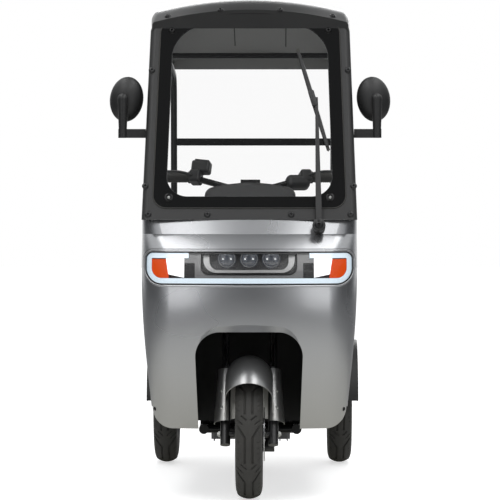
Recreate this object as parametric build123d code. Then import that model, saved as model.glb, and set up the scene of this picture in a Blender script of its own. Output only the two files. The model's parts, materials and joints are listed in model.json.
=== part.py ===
from build123d import *
import os
from math import cos, hypot, radians, sin, sqrt, tan

# Electric tricycle with a roof: one steered wheel under a wide silver front fairing, two wheels at the
# back under a silver seat body, and a black roof on a windscreen frame and a tube frame behind the seats.
# Millimetres. +Z is up, the front faces -Y, and the origin is on the ground, midway along the length.
# The sides are open for getting on. Each function below makes one sub-part.

# Driving layout
wheelbase = 1300.0
wheel_radius = 215.0
rear_overhang = 425.0
track = 655.0
front_axle_y = wheel_radius - (wheel_radius + wheelbase + rear_overhang) / 2
rear_axle_y = front_axle_y + wheelbase
rear_wheel_x = track / 2

# Clearances shared by every fit
seat_gap = 0.3
running_gap = 0.05
cut_over = 20.0

# Wheels, built about the X axis
tyre_half = 45.0
tyre_shoulder_half = 37.0
tyre_shoulder_drop = 13.0
tyre_bulge_drop = 42.0
rim_radius = 127.0
rim_half = 33.0
flange_half = 40.0
flange_height = 7.0
flange_depth = 15.0
barrel_wall = 9.0
hub_radius = 31.0
hub_half = 40.0
spoke_count = 5
spoke_thick = 18.0
spoke_root = 38.0
spoke_tip = 24.0
axle_radius = 7.5

# Front brake disc, on the side of +X
disc_hub_end = 48.0
disc_radius = 90.0
disc_thick = 3.5
disc_hole_radius = 6.0
disc_hole_ring = 76.0
disc_hole_count = 12
disc_window_radius = 13.0
disc_window_ring = 49.0

# Steering: rake from the vertical, fork legs ahead of the steering axis
rake = 22.0
fork_offset = 25.0
leg_x = 80.0
stanchion_radius = 13.0
slider_radius = 17.0
slider_low = 38.0
slider_top = 232.0
stanchion_low = 120.0
yoke_low = 405.0
yoke_thick = 28.0
yoke_margin = 8.0
yoke_front = 22.0
yoke_back = 50.0
stem_radius = 16.0
bar_height = 900.0
clamp_half_x = 34.0
clamp_half = 22.0
head_tube_low = 445.0
head_tube_top = 650.0
head_tube_radius = 26.0
spacer_radius = 12.0
wheel_side_gap = 1.5

# Handlebar and what it holds, in the steering axis's own frame: x, back, up
bar_radius = 11.0
bar_flat = 78.0
bar_bend = 45.0
grip_start = (205.0, 33.0, 51.0)
grip_end = (330.0, 65.0, 64.0)
grip_radius = 17.0
grip_flange = 21.0
grip_flange_thick = 5.0
switch_size = (40.0, 52.0, 46.0)
switch_round = 9.0
lever_radius = 5.0
lever_reach = 52.0
lever_ball = 8.0
reservoir_size = (66.0, 42.0, 46.0)
reservoir_inward = 16.0
switch_low_size = (84.0, 50.0, 50.0)
switch_low_round = 18.0
switch_low_inward = 30.0
switch_low_drop = 20.0
pod_half = 156.0
pod_deep = 62.0
pod_top = -14.0
pod_low = 76.0
pod_corner = 33.0
pod_bow = 520.0
pod_round = 9.0

# Front mudguard and the guards over the fork legs
guard_half = 79.0
guard_wall = 2.5
guard_centre = 184.0
guard_skirt = 70.0
guard_leg_gap = 3.0
guard_front_angle = 68.0
guard_rear_angle = 60.0
leg_guard_low = 36.0
leg_guard_top = 224.0
leg_guard_clear = 7.0
leg_guard_flare = 12.0
leg_guard_inner = 12.0
leg_guard_back = 8.0
leg_guard_web = 60.0

# Brake caliper, placed from the front axle in the fork's frame
caliper_back = 76.0
caliper_inner_x = 38.0
caliper_outer_x = 84.0
caliper_size = (44.0, 66.0)
caliper_round = 6.0
caliper_slot_gap = 2.0
caliper_lug = 12.0

# Front fairing: height, width, set-back of the nose, and corner radius as shares, front bow radius in full
fairing_low = 235.0
cowl_z = 930.0
fairing_half = 361.0
fairing_nose_y = -880.0
fairing_back_y = -400.0
fairing_wall = 4.0
fairing_bow = 1150.0
crease_bow = 1900.0
cowl_bow = 2400.0
fairing_corner = 120.0
fairing_low_corner = 70.0
# Columns: height share, half-width share, set-back share of the depth, corner share, bow radius
fairing_shares = [
    (0.00, 0.900, 0.185, 0.75, fairing_bow),
    (0.30, 0.950, 0.060, 0.90, fairing_bow),
    (0.58, 0.990, 0.000, 1.00, fairing_bow),
    (0.80, 1.000, 0.050, 1.00, fairing_bow),
    (0.932, 1.000, 0.222, 0.70, crease_bow),
    (1.00, 1.000, 0.266, 0.55, cowl_bow),
]

# Wheel arch cut in the fairing, and the black liner behind it
arch_top = 560.0
arch_half = 178.0
arch_low_half = 168.0
arch_corner = 82.0
arch_roll = 30.0
arch_roll_depth = 26.0
liner_half = 192.0
liner_top = 662.0
liner_front_y = -812.0
liner_rear_y = -487.0
liner_wall = 4.0
liner_corner = 60.0
stem_hole = 34.0

# Leg shield and dashboard inside the fairing
shield_wall = 8.0
deck_hole = 30.0

# Lamp band across the nose: outline in front view
band_half = 344.0
band_top = 824.0
band_low = 718.0
band_corner_top = 24.0
band_corner_low = 54.0
band_deep_y = -700.0
lens_wall = 3.0
lens_edge_gap = 0.8
tray_flange = 9.0
tray_floor = 40.0
tray_wall = 8.0
tray_floor_depth = fairing_wall + seat_gap + tray_floor
guide_inset = 3.0
guide_width = 17.0
guide_front = 5.0
guide_back = 14.0
guide_open_half = 200.0
guide_hook_z = 792.0
indicator_inner = 276.0
indicator_lean = 10.0
indicator_outer = 338.0
indicator_low = 738.0
indicator_top = 800.0
indicator_front = 9.0
reflector_inner = 215.0
reflector_low = 740.0
reflector_rise = 11.0
bezel_half = 214.0
bezel_front = 11.0
bezel_slot_inner = 179.0
bezel_slot_top = 788.0
pod_recess_half = 160.0
pod_recess_low = 747.0
pod_recess_top = 818.0
pod_recess_corner = 28.0
projector_pitch = 73.5
projector_z = 801.0
projector_radius = 28.0
projector_rim = 3.0
projector_bulge = 9.0
trim_half = 151.0
trim_side = 20.0
trim_foot = 9.0
trim_top = 815.0
trim_low = 756.0
trim_corner = 42.0
trim_inner_corner = 28.0
trim_depth = 24.0

# Windscreen, in its own leaning plane: the origin is at the middle of its foot
screen_lean = 22.0
screen_foot_y = -752.0
screen_height = 772.0
screen_top_half = 341.0
screen_top_rise = 48.0
screen_top_corner = 30.0
screen_side_depth = 88.0
screen_wall = 5.0
screen_flange = 8.0
screen_round = 20.0
glass_inset = 36.0
glass_low = 42.0
glass_top_inset = 22.0
glass_rise = 24.0
glass_corner = 46.0
glass_thick = 4.0
window_inset = 44.0
window_low = 85.0
window_top_inset = 46.0
window_top_corner = 104.0
window_low_corner = 72.0

# Wiper, in the windscreen's plane
wiper_x = 232.0
wiper_drop = 28.0
wiper_boss_radius = 20.0
wiper_boss_in = 40.0
wiper_boss_out = 14.0
wiper_hub_radius = 22.0
wiper_hub_thick = 16.0
wiper_shaft = 5.0
arm_thick = 5.0
arm_root_half = 8.0
arm_wide_half = 10.0
arm_wide_share = 0.16
arm_tip_half = 4.5
arm_end = (226.0, 438.0)
blade_top = (162.0, 623.0)
blade_foot = (265.5, 247.0)
blade_half = 5.5
blade_low = 2.2
blade_high = 17.0
blade_saddle = 24.0

# Roof: station shares along its length and how far the crown and the rim drop at each
roof_front_y = -488.0
roof_back_y = 842.0
roof_half = 341.0
roof_top = 1698.0
roof_rim = 1578.0
roof_wall = 4.0
roof_corner = 34.0
roof_bow = 1300.0
roof_rim_drop = 72.0
# Columns: length share, half-width share, drop of the crown, corner share
roof_crown_drop = 118.0
roof_shares = [
    (0.00, 0.985, 0.42, 0.35),
    (0.055, 1.000, 0.15, 0.80),
    (0.20, 1.000, 0.00, 1.00),
    (0.62, 1.000, 0.20, 1.00),
    (0.93, 0.970, 0.72, 1.00),
    (1.00, 0.930, 1.00, 0.80),
]

# Tube frame that holds up the roof behind the seats
hoop_radius = 12.5
hoop_x = 311.0
hoop_foot = (838.0, 643.0)
hoop_waist = (830.0, 880.0)
hoop_shoulder = (798.0, 1475.0)
hoop_front = (-389.0, 1572.0)
hoop_bend = 90.0
crossbar_z = 1222.0
crossbar_tall = 28.0
crossbar_deep = 14.0
back_bar_radius = 11.0
roof_bow_radius = 10.0
roof_bow_tube_y = 180.0
hoop_plate_half = 24.0
hoop_plate_thick = 5.0

# Mirrors
mirror_z = 1222.0
mirror_arm_out = 446.0
mirror_arm_tall = 30.0
mirror_arm_thick = 14.0
mirror_x = 421.0
mirror_centre_z = 1340.0
mirror_half_wide = 57.0
mirror_half_tall = 77.0
mirror_deep = 46.0
mirror_rim = 8.0
mirror_glass_inset = 5.0
mirror_glass_thick = 3.0
mirror_tilt = 8.0
neck_low_radius = 14.0
neck_top_radius = 18.0

# Floor and chassis
floor_top = 284.0
floor_thick = 18.0
floor_half = 300.0
floor_round = 6.0
rail_radius = 17.0
rail_x = 160.0
rail_z = 206.0
rail_front_y = -452.0
rail_kick_y = 225.0
rail_rear_y = 330.0
rail_rear_z = 432.0
rail_end_y = 900.0
rail_bend = 90.0
cross_radius = 14.0
cross_places_y = (-330.0, -60.0, 170.0)
floor_post_half = 15.0
down_foot = (-452.0, 206.0)
down_bend = 60.0
tray_box_half = 138.0
tray_box_y = (-312.0, -84.0)
tray_box_z = (152.0, 252.0)
tray_box_round = 10.0
tray_fin_count = 11
tray_fin_height = 8.0
tray_fin_thick = 4.0
tray_hanger_x = 75.0
tray_hanger_half = 15.0

# Rear body under the seats
body_front_y = -26.0
body_half = 352.0
body_front_half = 275.0
body_waist_y = 215.0
body_top = 590.0
body_step_y = 405.0
body_rear_top = 640.0
body_tail_top = 620.0
body_low = 264.0
body_rear_low = 380.0
body_tail_low = 420.0
body_wall = 4.0
body_tail_y = 950.0
body_tail_break_y = 880.0
body_tail_corner = 130.0
body_side_round = 38.0
hatch_half = 150.0
hatch_y = (42.0, 352.0)
battery_half = 138.0
battery_y = (48.0, 346.0)
battery_z = (rail_z + cross_radius + seat_gap, 572.0)
battery_round = 8.0

# Rear mudguards, about the rear axle
mud_outer = 250.0
mud_wall = 4.0
mud_inner_x = 262.0
mud_outer_x = 394.0
mud_lip = 22.0
mud_plate_low = 70.0
mud_front_angle = 8.0
mud_rear_angle = 24.0

# Rear axle, drive and springs
beam_radius = 25.0
beam_half = 256.0
drum_radius = 62.0
drum_thick = 22.0
stub_radius = 8.5
drive_radius = 92.0
drive_half = 84.0
drive_x = 20.0
drive_rib_count = 7
drive_rib_height = 5.0
drive_rib_thick = 5.0
arm_pivot = (235.0, 262.0)
arm_tall = 34.0
arm_wide = 14.0
spring_x = 205.0
spring_head = (640.0, 440.0)
spring_bolt = 6.0
spring_tube_radius = 15.0
spring_coil_radius = 27.0
spring_coil_wire = 4.5
spring_coils = 8

# Seats
cushion_round = 24.0
driver_seat_half = 205.0
driver_seat_y = (-12.0, 372.0)
driver_pan_thick = 12.0
driver_seat_thick = 92.0
driver_back_half = 180.0
driver_back_y = (382.0, 442.0)
driver_back_z = (688.0, 950.0)
back_bracket_half = 14.0
rear_seat_half = 215.0
rear_seat_y = (452.0, 800.0)
rear_seat_thick = 84.0
rear_back_thick = 54.0
rear_back_bar_z = 880.0
rear_back_z = (745.0, 1000.0)
rear_back_half = 200.0
hinge_pin_radius = 4.0
hinge_radius = 6.5
hinge_half = 90.0
hinge_lug = 14.0
hinge_y = -18.0
hinge_rise = 8.0
hinge_leaf = 4.0

# Tail
lamp_x = 262.0
lamp_half = 55.0
lamp_z = 560.0
lamp_tall = 78.0
lamp_deep = 18.0
lamp_round = 12.0
plate_half = 110.0
plate_low = 415.0
plate_tall = 110.0
plate_thick = 3.0
plate_hole_radius = 3.25
plate_hole_x = 80.0
plate_stem_half = 30.0
plate_stand_off = 14.0
bumper_radius = 13.0
bumper_z = 385.0
bumper_drop_y = 860.0
bumper_bends = (15.0, 35.0, 35.0, 15.0)
bumper_y = rear_axle_y + rear_overhang - bumper_radius

# Directions of the leaning planes
rake_sin = sin(radians(rake))
rake_cos = cos(radians(rake))
lean_sin = sin(radians(screen_lean))
lean_cos = cos(radians(screen_lean))
fork_plane = Plane(origin=(0, front_axle_y, wheel_radius), x_dir=(1, 0, 0), z_dir=(0, rake_sin, rake_cos))
steer_plane = Plane(origin=fork_plane.from_local_coords((0, fork_offset, 0)), x_dir=(1, 0, 0),
                    z_dir=(0, rake_sin, rake_cos))
screen_plane = Plane(origin=(0, screen_foot_y, cowl_z), x_dir=(1, 0, 0), z_dir=(0, -lean_cos, lean_sin))


def both_sides(shape):
    """The shape and its mirror image across the middle of the vehicle."""
    return [shape, mirror(shape, about=Plane.YZ)]


standing_up = (Align.CENTER, Align.CENTER, Align.MIN)


def rod(start, end, radius):
    """A round bar from one point to another."""
    run = Vector(*end) - Vector(*start)
    return Plane(origin=start, z_dir=run) * Cylinder(radius, run.length, align=standing_up)


def tube(points, radius, bend):
    """A round tube along straight runs joined by tangent arcs."""
    radii = bend if isinstance(bend, tuple) else (bend,) * (len(points) - 2)
    path = FilletPolyline(*points, radius=list(radii))
    return sweep(Plane(origin=path @ 0, z_dir=path % 0) * Circle(radius), path=path)


def block(x_span, y_span, z_span):
    """A box from its spans along the three axes."""
    size = [span[1] - span[0] for span in (x_span, y_span, z_span)]
    middle = [(span[0] + span[1]) / 2 for span in (x_span, y_span, z_span)]
    return Pos(*middle) * Box(*size)


def symmetric(half):
    return (-half, half)


def bowed_outline(half_width, tip, base, bow, corner):
    """A face with a straight base, straight sides and a bowed end at tip, its corners tangent to both."""
    way = 1 if base > tip else -1
    bow_v = tip + way * bow
    corner_x = half_width - corner
    corner_v = bow_v - way * sqrt((bow - corner) ** 2 - corner_x ** 2)
    reach = bow / (bow - corner)
    touch = (corner_x * reach, bow_v + (corner_v - bow_v) * reach)
    lean = ((touch[0] - corner_x) / corner + 1, (touch[1] - corner_v) / corner)
    size = hypot(*lean)
    middle = (corner_x + corner * lean[0] / size, corner_v + corner * lean[1] / size)
    edges = [
        Line((-half_width, base), (-half_width, corner_v)),
        ThreePointArc((-half_width, corner_v), (-middle[0], middle[1]), (-touch[0], touch[1])),
        ThreePointArc((-touch[0], touch[1]), (0, tip), touch),
        ThreePointArc(touch, middle, (half_width, corner_v)),
        Line((half_width, corner_v), (half_width, base)),
        Line((half_width, base), (-half_width, base)),
    ]
    return make_face(Curve() + edges)


def upright(y):
    """The plane across the vehicle at y, seen from the front: its x is X and its y is Z."""
    return Plane(origin=(0, y, 0), x_dir=(1, 0, 0), z_dir=(0, -1, 0))


def through_front(face, y_front, y_back):
    """A front-view outline carried straight back from y_front to y_back."""
    return extrude(upright(y_back) * face, amount=y_back - y_front)


# Wheels


def tyre():
    """A tyre for a ten inch rim, with square shoulders and its beads behind the rim's flanges."""
    seat = rim_radius
    lip = rim_radius + flange_height + seat_gap
    bead = rim_half - seat_gap
    shoulder_r = wheel_radius - tyre_shoulder_drop
    half = [(bead, seat), (bead, lip), (flange_half, lip)]
    bulge = (tyre_half, wheel_radius - tyre_bulge_drop)
    shoulder = (tyre_shoulder_half, shoulder_r)
    edges = [Polyline(*half)]
    edges.append(ThreePointArc(half[-1], bulge, shoulder))
    edges.append(ThreePointArc(shoulder, (0, wheel_radius), (-shoulder[0], shoulder[1])))
    edges.append(ThreePointArc((-shoulder[0], shoulder[1]), (-bulge[0], bulge[1]), (-flange_half, lip)))
    edges.append(Polyline((-flange_half, lip), (-bead, lip), (-bead, seat), (bead, seat)))
    return revolve(make_face(Curve() + edges), axis=Axis.X)


def rim(hub_end, bore):
    """A five-spoke cast rim: barrel, flanges, hub and tapered spokes, bored for its axle."""
    outer = rim_radius - seat_gap
    well = outer - barrel_wall
    flange_top = rim_radius + flange_height
    flange_root = outer - flange_depth
    barrel = revolve(make_face(Polyline(
        (-rim_half, outer), (rim_half, outer), (rim_half, flange_top), (flange_half, flange_top),
        (flange_half, flange_root), (rim_half, well), (-rim_half, well), (-flange_half, flange_root),
        (-flange_half, flange_top), (-rim_half, flange_top), close=True)), axis=Axis.X)
    reach = well + barrel_wall / 2
    start = hub_radius / 2
    outline = make_face(Polyline((-spoke_root / 2, start), (spoke_root / 2, start), (spoke_tip / 2, reach),
                                 (-spoke_tip / 2, reach), close=True))
    across = Plane(origin=(-spoke_thick / 2, 0, 0), x_dir=(0, 1, 0), z_dir=(1, 0, 0))
    spoke = extrude(across * outline, amount=spoke_thick)
    spokes = [Rot(X=turn * 360 / spoke_count) * spoke for turn in range(spoke_count)]
    hub = rod((-hub_half, 0, 0), (hub_end, 0, 0), hub_radius)
    hole = rod((-hub_half - cut_over, 0, 0), (hub_end + cut_over, 0, 0), bore)
    return barrel + spokes + hub - hole


def brake_disc():
    """A drilled steel disc with round windows, flat against the end of the front hub."""
    disc = rod((disc_hub_end, 0, 0), (disc_hub_end + disc_thick, 0, 0), disc_radius)
    holes = [rod((0, 0, 0), (disc_hub_end + cut_over, 0, 0), axle_radius + running_gap)]
    for ring, radius, count in ((disc_hole_ring, disc_hole_radius, disc_hole_count),
                                (disc_window_ring, disc_window_radius, disc_hole_count // 2)):
        for turn in range(count):
            hole = rod((0, 0, ring), (disc_hub_end + cut_over, 0, ring), radius)
            holes.append(Rot(X=turn * 360 / count) * hole)
    return disc - holes


def at_front_axle(shape):
    return Pos(0, front_axle_y, wheel_radius) * shape


def at_rear_axle(shape, side):
    return Pos(side * rear_wheel_x, rear_axle_y, wheel_radius) * shape


# Fork and steering, built in the fork's leaning frame with its origin at the front axle


def fork_sliders():
    """Lower fork legs, the wheel axle between them, its spacers, and the lug that carries the caliper."""
    slider = rod((leg_x, 0, -slider_low), (leg_x, 0, slider_top), slider_radius)
    slider = slider - rod((leg_x, 0, stanchion_low - seat_gap), (leg_x, 0, slider_top + cut_over),
                          stanchion_radius + seat_gap)
    axle = rod((-leg_x, 0, 0), (leg_x, 0, 0), axle_radius)
    disc_end = disc_hub_end + disc_thick + wheel_side_gap
    right_spacer = rod((disc_end, 0, 0), (leg_x, 0, 0), spacer_radius)
    left_spacer = rod((-leg_x, 0, 0), (-hub_half - wheel_side_gap, 0, 0), spacer_radius)
    lug_x = leg_x - slider_radius + caliper_lug
    lug = block((leg_x - slider_radius, lug_x), (0, caliper_back - caliper_size[0] / 2),
                symmetric(caliper_lug))
    legs = both_sides(slider)
    return fork_plane * (axle + legs + [right_spacer, left_spacer, lug])


def fork_stanchions():
    top = yoke_low + yoke_thick
    return [fork_plane * leg for leg in
            both_sides(rod((leg_x, 0, stanchion_low), (leg_x, 0, top), stanchion_radius))]


def steering_stem():
    """Lower yoke, steering column and handlebar clamp in one."""
    half = leg_x + stanchion_radius + yoke_margin
    yoke = block(symmetric(half), (-yoke_front, yoke_back), (yoke_low, yoke_low + yoke_thick))
    yoke = fillet(yoke.edges().filter_by(Axis.Z), yoke_front - yoke_margin)
    for hole in both_sides(rod((leg_x, 0, 0), (leg_x, 0, yoke_low + yoke_thick + cut_over),
                               stanchion_radius + running_gap)):
        yoke = yoke - hole
    column = rod((0, fork_offset, yoke_low), (0, fork_offset, bar_height), stem_radius)
    clamp = block(symmetric(clamp_half_x), (fork_offset - clamp_half, fork_offset + clamp_half),
                  (bar_height - clamp_half, bar_height + clamp_half))
    clamp = fillet(clamp.edges().filter_by(Axis.X), clamp_half / 4)
    ends = [(side * bar_flat, fork_offset, bar_height) for side in (-1, 1)]
    return fork_plane * (yoke + column + clamp - rod(*ends, bar_radius + running_gap))


def bar_point(point, side):
    """A handlebar point in the steering frame, on one side, as a global point."""
    x, back, up = point
    return steer_plane.from_local_coords((side * x, back, bar_height + up))


def bar_form(radius):
    points = [bar_point(grip_end, -1), bar_point(grip_start, -1), bar_point((bar_flat, 0, 0), -1),
              bar_point((bar_flat, 0, 0), 1), bar_point(grip_start, 1), bar_point(grip_end, 1)]
    return tube(points, radius, bar_bend)


def handlebar():
    return bar_form(bar_radius)


def grip_run(side):
    """The straight run of the handlebar under the grip: its start, its end and its direction."""
    start, end = Vector(*bar_point(grip_start, side)), Vector(*bar_point(grip_end, side))
    way = (end - start).normalized()
    return start, end, way


def grips():
    """Rubber grips with an inner flange, closed at the bar's end."""
    made = []
    for side in (-1, 1):
        start, end, way = grip_run(side)
        inner = start + way * grip_flange_thick
        grip = rod(inner, end + way * grip_flange_thick, grip_radius)
        grip = grip + rod(inner, inner + way * grip_flange_thick, grip_flange)
        made.append(grip - rod(start - way * cut_over, end + way * seat_gap, bar_radius + seat_gap))
    return made


def hand_controls():
    """Switch housings round the bar inside the grips, each with its brake lever."""
    made = []
    for side in (-1, 1):
        start, end, way = grip_run(side)
        upward = way.cross(steer_plane.y_dir) * side
        frame = Plane(origin=start - way * (switch_size[0] / 2 - grip_flange_thick + seat_gap),
                      x_dir=way, z_dir=upward)
        box = fillet(Box(*switch_size).edges(), switch_round)
        ahead = frame.y_dir if frame.y_dir.Y < 0 else frame.y_dir * -1
        centre = Vector(*frame.origin)
        root = centre + ahead * (switch_size[1] / 2 - lever_ball)
        knee = centre + ahead * lever_reach + way * (switch_size[0] + lever_ball)
        tip = end + ahead * lever_reach
        lever = tube([root, knee, tip], lever_radius, bar_bend)
        ball = Pos(*tip) * Sphere(lever_ball)
        control = frame * box + lever + ball
        if side < 0:
            rise = switch_size[2] / 2 + reservoir_size[2] / 2 - switch_round
            pot = Pos(-reservoir_inward, 0, rise) * Box(*reservoir_size)
            control = control + frame * fillet(pot.edges(), switch_round)
        else:
            lower = Pos(-switch_low_inward, 0, -switch_low_drop) * Box(*switch_low_size)
            control = control + frame * fillet(lower.edges(), switch_low_round)
        made.append(control - bar_form(bar_radius + seat_gap))
    return made


def instrument_pod():
    """The hooded instrument housing ahead of the handlebar's clamp."""
    face = bowed_outline(pod_half, bar_height + pod_top, bar_height - pod_low, pod_bow, pod_corner)
    back = fork_offset - clamp_half
    pod = extrude(Plane(origin=(0, back, 0), x_dir=(1, 0, 0), z_dir=(0, -1, 0)) * face, amount=pod_deep)
    front = pod.faces().sort_by(Axis.Y)[0]
    return fork_plane * fillet(front.edges(), pod_round)


def front_mudguard():
    """A deep half-round guard over the front tyre, with tapered guards down the front of both fork legs."""
    inner = guard_half - guard_wall

    def section(radius):
        foot = guard_centre - guard_skirt
        return Curve() + [
            Line((-radius, foot), (-radius, guard_centre)),
            ThreePointArc((-radius, guard_centre), (0, guard_centre + radius), (radius, guard_centre)),
            Line((radius, guard_centre), (radius, foot)),
            Line((radius, foot), (-radius, foot)),
        ]

    lower = guard_centre - guard_skirt
    profile = make_face(section(guard_half)) - make_face(section(inner)) \
        - Pos(0, lower) * Rectangle(2 * inner, guard_wall)
    standing = Plane(origin=(0, 0, 0), x_dir=(1, 0, 0), z_dir=(0, -1, 0)) * profile
    sweep_angle = guard_front_angle + guard_rear_angle
    guard = revolve(Rot(X=guard_front_angle) * standing, axis=Axis.X, revolution_arc=-sweep_angle)
    for leg in both_sides(rod((leg_x, 0, 0), (leg_x, 0, yoke_low), slider_radius + guard_leg_gap)):
        guard = guard - leg
    top_r = slider_radius + leg_guard_clear
    low_r = top_r + leg_guard_flare
    tall = leg_guard_top - leg_guard_low
    wing = Pos(leg_x, 0, leg_guard_low) * (
        Cone(low_r + guard_wall, top_r + guard_wall, tall, align=standing_up)
        - Cone(low_r, top_r, tall, align=standing_up))
    reach = low_r + cut_over
    wing = wing & block((leg_x - leg_guard_inner, leg_x + reach), (-reach, leg_guard_back),
                        (0, leg_guard_top + cut_over))
    web_front = -low_r
    web = block((guard_half - guard_wall / 2, leg_x), (web_front, -slider_radius - seat_gap),
                (lower, lower + leg_guard_web))
    web = web - block((guard_half + guard_wall, leg_x + guard_wall), (web_front - guard_wall, -top_r),
                      (lower - cut_over, lower + leg_guard_web + cut_over))
    shape = guard
    for piece in both_sides(wing) + both_sides(web):
        shape = shape + piece
    return fork_plane * shape


def brake_caliper():
    """A caliper straddling the disc behind the left fork leg."""
    tall = caliper_size[1] / 2
    deep = caliper_size[0] / 2
    body = block((caliper_inner_x, caliper_outer_x), (caliper_back - deep, caliper_back + deep),
                 symmetric(tall))
    body = fillet(body.edges().filter_by(Axis.X), caliper_round)
    slot = rod((disc_hub_end - caliper_slot_gap, 0, 0), (disc_hub_end + disc_thick + caliper_slot_gap, 0, 0),
               disc_radius + caliper_slot_gap + wheel_side_gap)
    return fork_plane * (body - slot)


# Front fairing and what closes it


def fairing_body(inset, top, back_y):
    """The fairing's whole outer form, inset from its skin, up to a height and back to a plane."""
    low = fairing_low - (cut_over if inset else 0)
    tall = cowl_z - fairing_low
    depth = fairing_back_y - fairing_nose_y
    sections = []
    for height, width, set_back, corner, bow in fairing_shares:
        z = fairing_low + height * tall
        face = bowed_outline(fairing_half * width - inset, fairing_nose_y + set_back * depth + inset,
                             back_y, bow - inset, fairing_corner * corner - inset)
        sections.append(Plane.XY.offset(z) * face)
    form = loft(sections[:-1]) + loft(sections[-2:], ruled=True)
    if inset:
        width, set_back, corner, bow = fairing_shares[0][1:]
        face = bowed_outline(fairing_half * width - inset, fairing_nose_y + set_back * depth + inset,
                             back_y, bow - inset, fairing_corner * corner - inset)
        form = form + extrude(Plane.XY.offset(low) * face, amount=fairing_low - low)
    if top < cowl_z:
        wide = symmetric(fairing_half + cut_over)
        form = form - block(wide, (fairing_nose_y - cut_over, back_y + cut_over), (top, cowl_z + cut_over))
    return form


def front_shape(inset):
    """The front view of the fairing below the cowl, with its rounded lower corners."""
    wide = fairing_half + cut_over
    low_half = fairing_half * fairing_shares[0][1] - inset
    corner = fairing_low_corner
    foot = fairing_low + inset
    return make_face(Curve() + [
        Line((-wide, cowl_z + cut_over), (wide, cowl_z + cut_over)),
        Line((wide, cowl_z + cut_over), (wide, foot + corner)),
        Line((wide, foot + corner), (low_half, foot + corner)),
        ThreePointArc((low_half, foot + corner),
                      (low_half - corner * (1 - cos(radians(45))), foot + corner * (1 - sin(radians(45)))),
                      (low_half - corner, foot)),
        Line((low_half - corner, foot), (corner - low_half, foot)),
        ThreePointArc((corner - low_half, foot),
                      (corner * (1 - cos(radians(45))) - low_half, foot + corner * (1 - sin(radians(45)))),
                      (-low_half, foot + corner)),
        Line((-low_half, foot + corner), (-wide, foot + corner)),
        Line((-wide, foot + corner), (-wide, cowl_z + cut_over)),
    ])


def arch_face(grow):
    """The wheel arch in front view: nearly upright sides and a flat top with round corners."""
    foot = fairing_low - cut_over
    outline = make_face(Polyline((-arch_low_half - grow, foot), (arch_low_half + grow, foot),
                                 (arch_half + grow, arch_top - arch_corner),
                                 (arch_half + grow, arch_top + grow), (-arch_half - grow, arch_top + grow),
                                 (-arch_half - grow, arch_top - arch_corner), close=True))
    top = outline.vertices().sort_by(Axis.Y)[-2:]
    return fillet(top, arch_corner + grow / 2)


def band_face(inset):
    """The lamp band in front view: small corners above, large corners below."""
    tall = band_top - band_low - 2 * inset
    face = Pos(0, (band_top + band_low) / 2) * Rectangle(2 * (band_half - inset), tall)
    corners = face.vertices().sort_by(Axis.Y)
    face = fillet(corners[:2], band_corner_low - inset)
    top = face.vertices().sort_by(Axis.Y)[-2:]
    return fillet(top, band_corner_top - inset)


def band_block(inset):
    return through_front(band_face(inset), fairing_nose_y - cut_over, band_deep_y)


def front_fairing():
    """The silver front body: a thin open shell with a wheel arch, a rolled arch edge and a lamp opening."""
    arch_cut = through_front(arch_face(0), fairing_nose_y - cut_over, liner_rear_y)
    skin_y = fairing_nose_y - cut_over
    roll = loft([upright(skin_y) * arch_face(arch_roll + cut_over * arch_roll / arch_roll_depth),
                 upright(fairing_nose_y + arch_roll_depth) * arch_face(0)])
    hidden = roll.moved(Location((0, fairing_wall, 0)))
    outer = fairing_body(0, cowl_z, fairing_back_y) - roll
    inner = fairing_body(fairing_wall, cowl_z, fairing_back_y + cut_over) - hidden
    shell = outer - inner - arch_cut
    trimmed = shell & through_front(front_shape(0), fairing_nose_y - cut_over, fairing_back_y + cut_over)
    boss = Pos(wiper_x, -wiper_drop, 0) * Cylinder(wiper_boss_radius + seat_gap, wiper_boss_in * 2)
    return trimmed - band_block(0) - screen_plane * boss


def wheel_liner():
    """The black liner round the front wheel: an arched tunnel with a rear wall and a hole for the column."""
    foot = fairing_low + fairing_wall

    def tunnel(half, top, back):
        face = make_face(Polyline((-half, foot), (half, foot), (half, top), (-half, top), close=True))
        face = fillet(face.vertices().sort_by(Axis.Y)[-2:], liner_corner)
        return through_front(face, liner_front_y, back)

    shape = tunnel(liner_half + liner_wall, liner_top + liner_wall, liner_rear_y + liner_wall)
    hollow = tunnel(liner_half, liner_top, liner_rear_y)
    fit = fairing_body(fairing_wall + seat_gap, cowl_z - cut_over, fairing_back_y)
    column = fork_plane * rod((0, fork_offset, yoke_low), (0, fork_offset, bar_height), stem_hole)
    return ((shape - hollow) & fit) - column


def leg_shield():
    """The black dashboard deck and leg shield that close the fairing towards the rider."""
    fit = fairing_wall + seat_gap
    whole = fairing_body(fit, cowl_z, fairing_back_y)
    room = block(symmetric(fairing_half), (fairing_nose_y - cut_over, fairing_back_y - shield_wall),
                 (0, cowl_z - shield_wall))
    foot = block(symmetric(fairing_half), (fairing_nose_y - cut_over, fairing_back_y + cut_over),
                 (0, floor_top - floor_thick))
    column = fork_plane * rod((0, fork_offset, head_tube_top), (0, fork_offset, bar_height), deck_hole)
    return whole - room - foot - column


# Lamp unit in the nose


def skin_layer(front, back):
    """The layer of the fairing's form between two depths under its skin."""
    return fairing_body(front, cowl_z, fairing_back_y) - fairing_body(back, cowl_z, fairing_back_y)


def lamp_tray():
    """The black tray behind the lamp band, flanged against the back of the fairing."""
    fit = fairing_wall + seat_gap
    whole = skin_layer(fit, tray_floor_depth + tray_wall) & band_block(-tray_flange)
    pocket = band_block(0) - fairing_body(tray_floor_depth, cowl_z, fairing_back_y)
    return whole - pocket


def lamp_cover():
    """The clear cover of the lamp band, flush with the fairing's skin."""
    return skin_layer(0, lens_wall) & band_block(lens_edge_gap)


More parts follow.
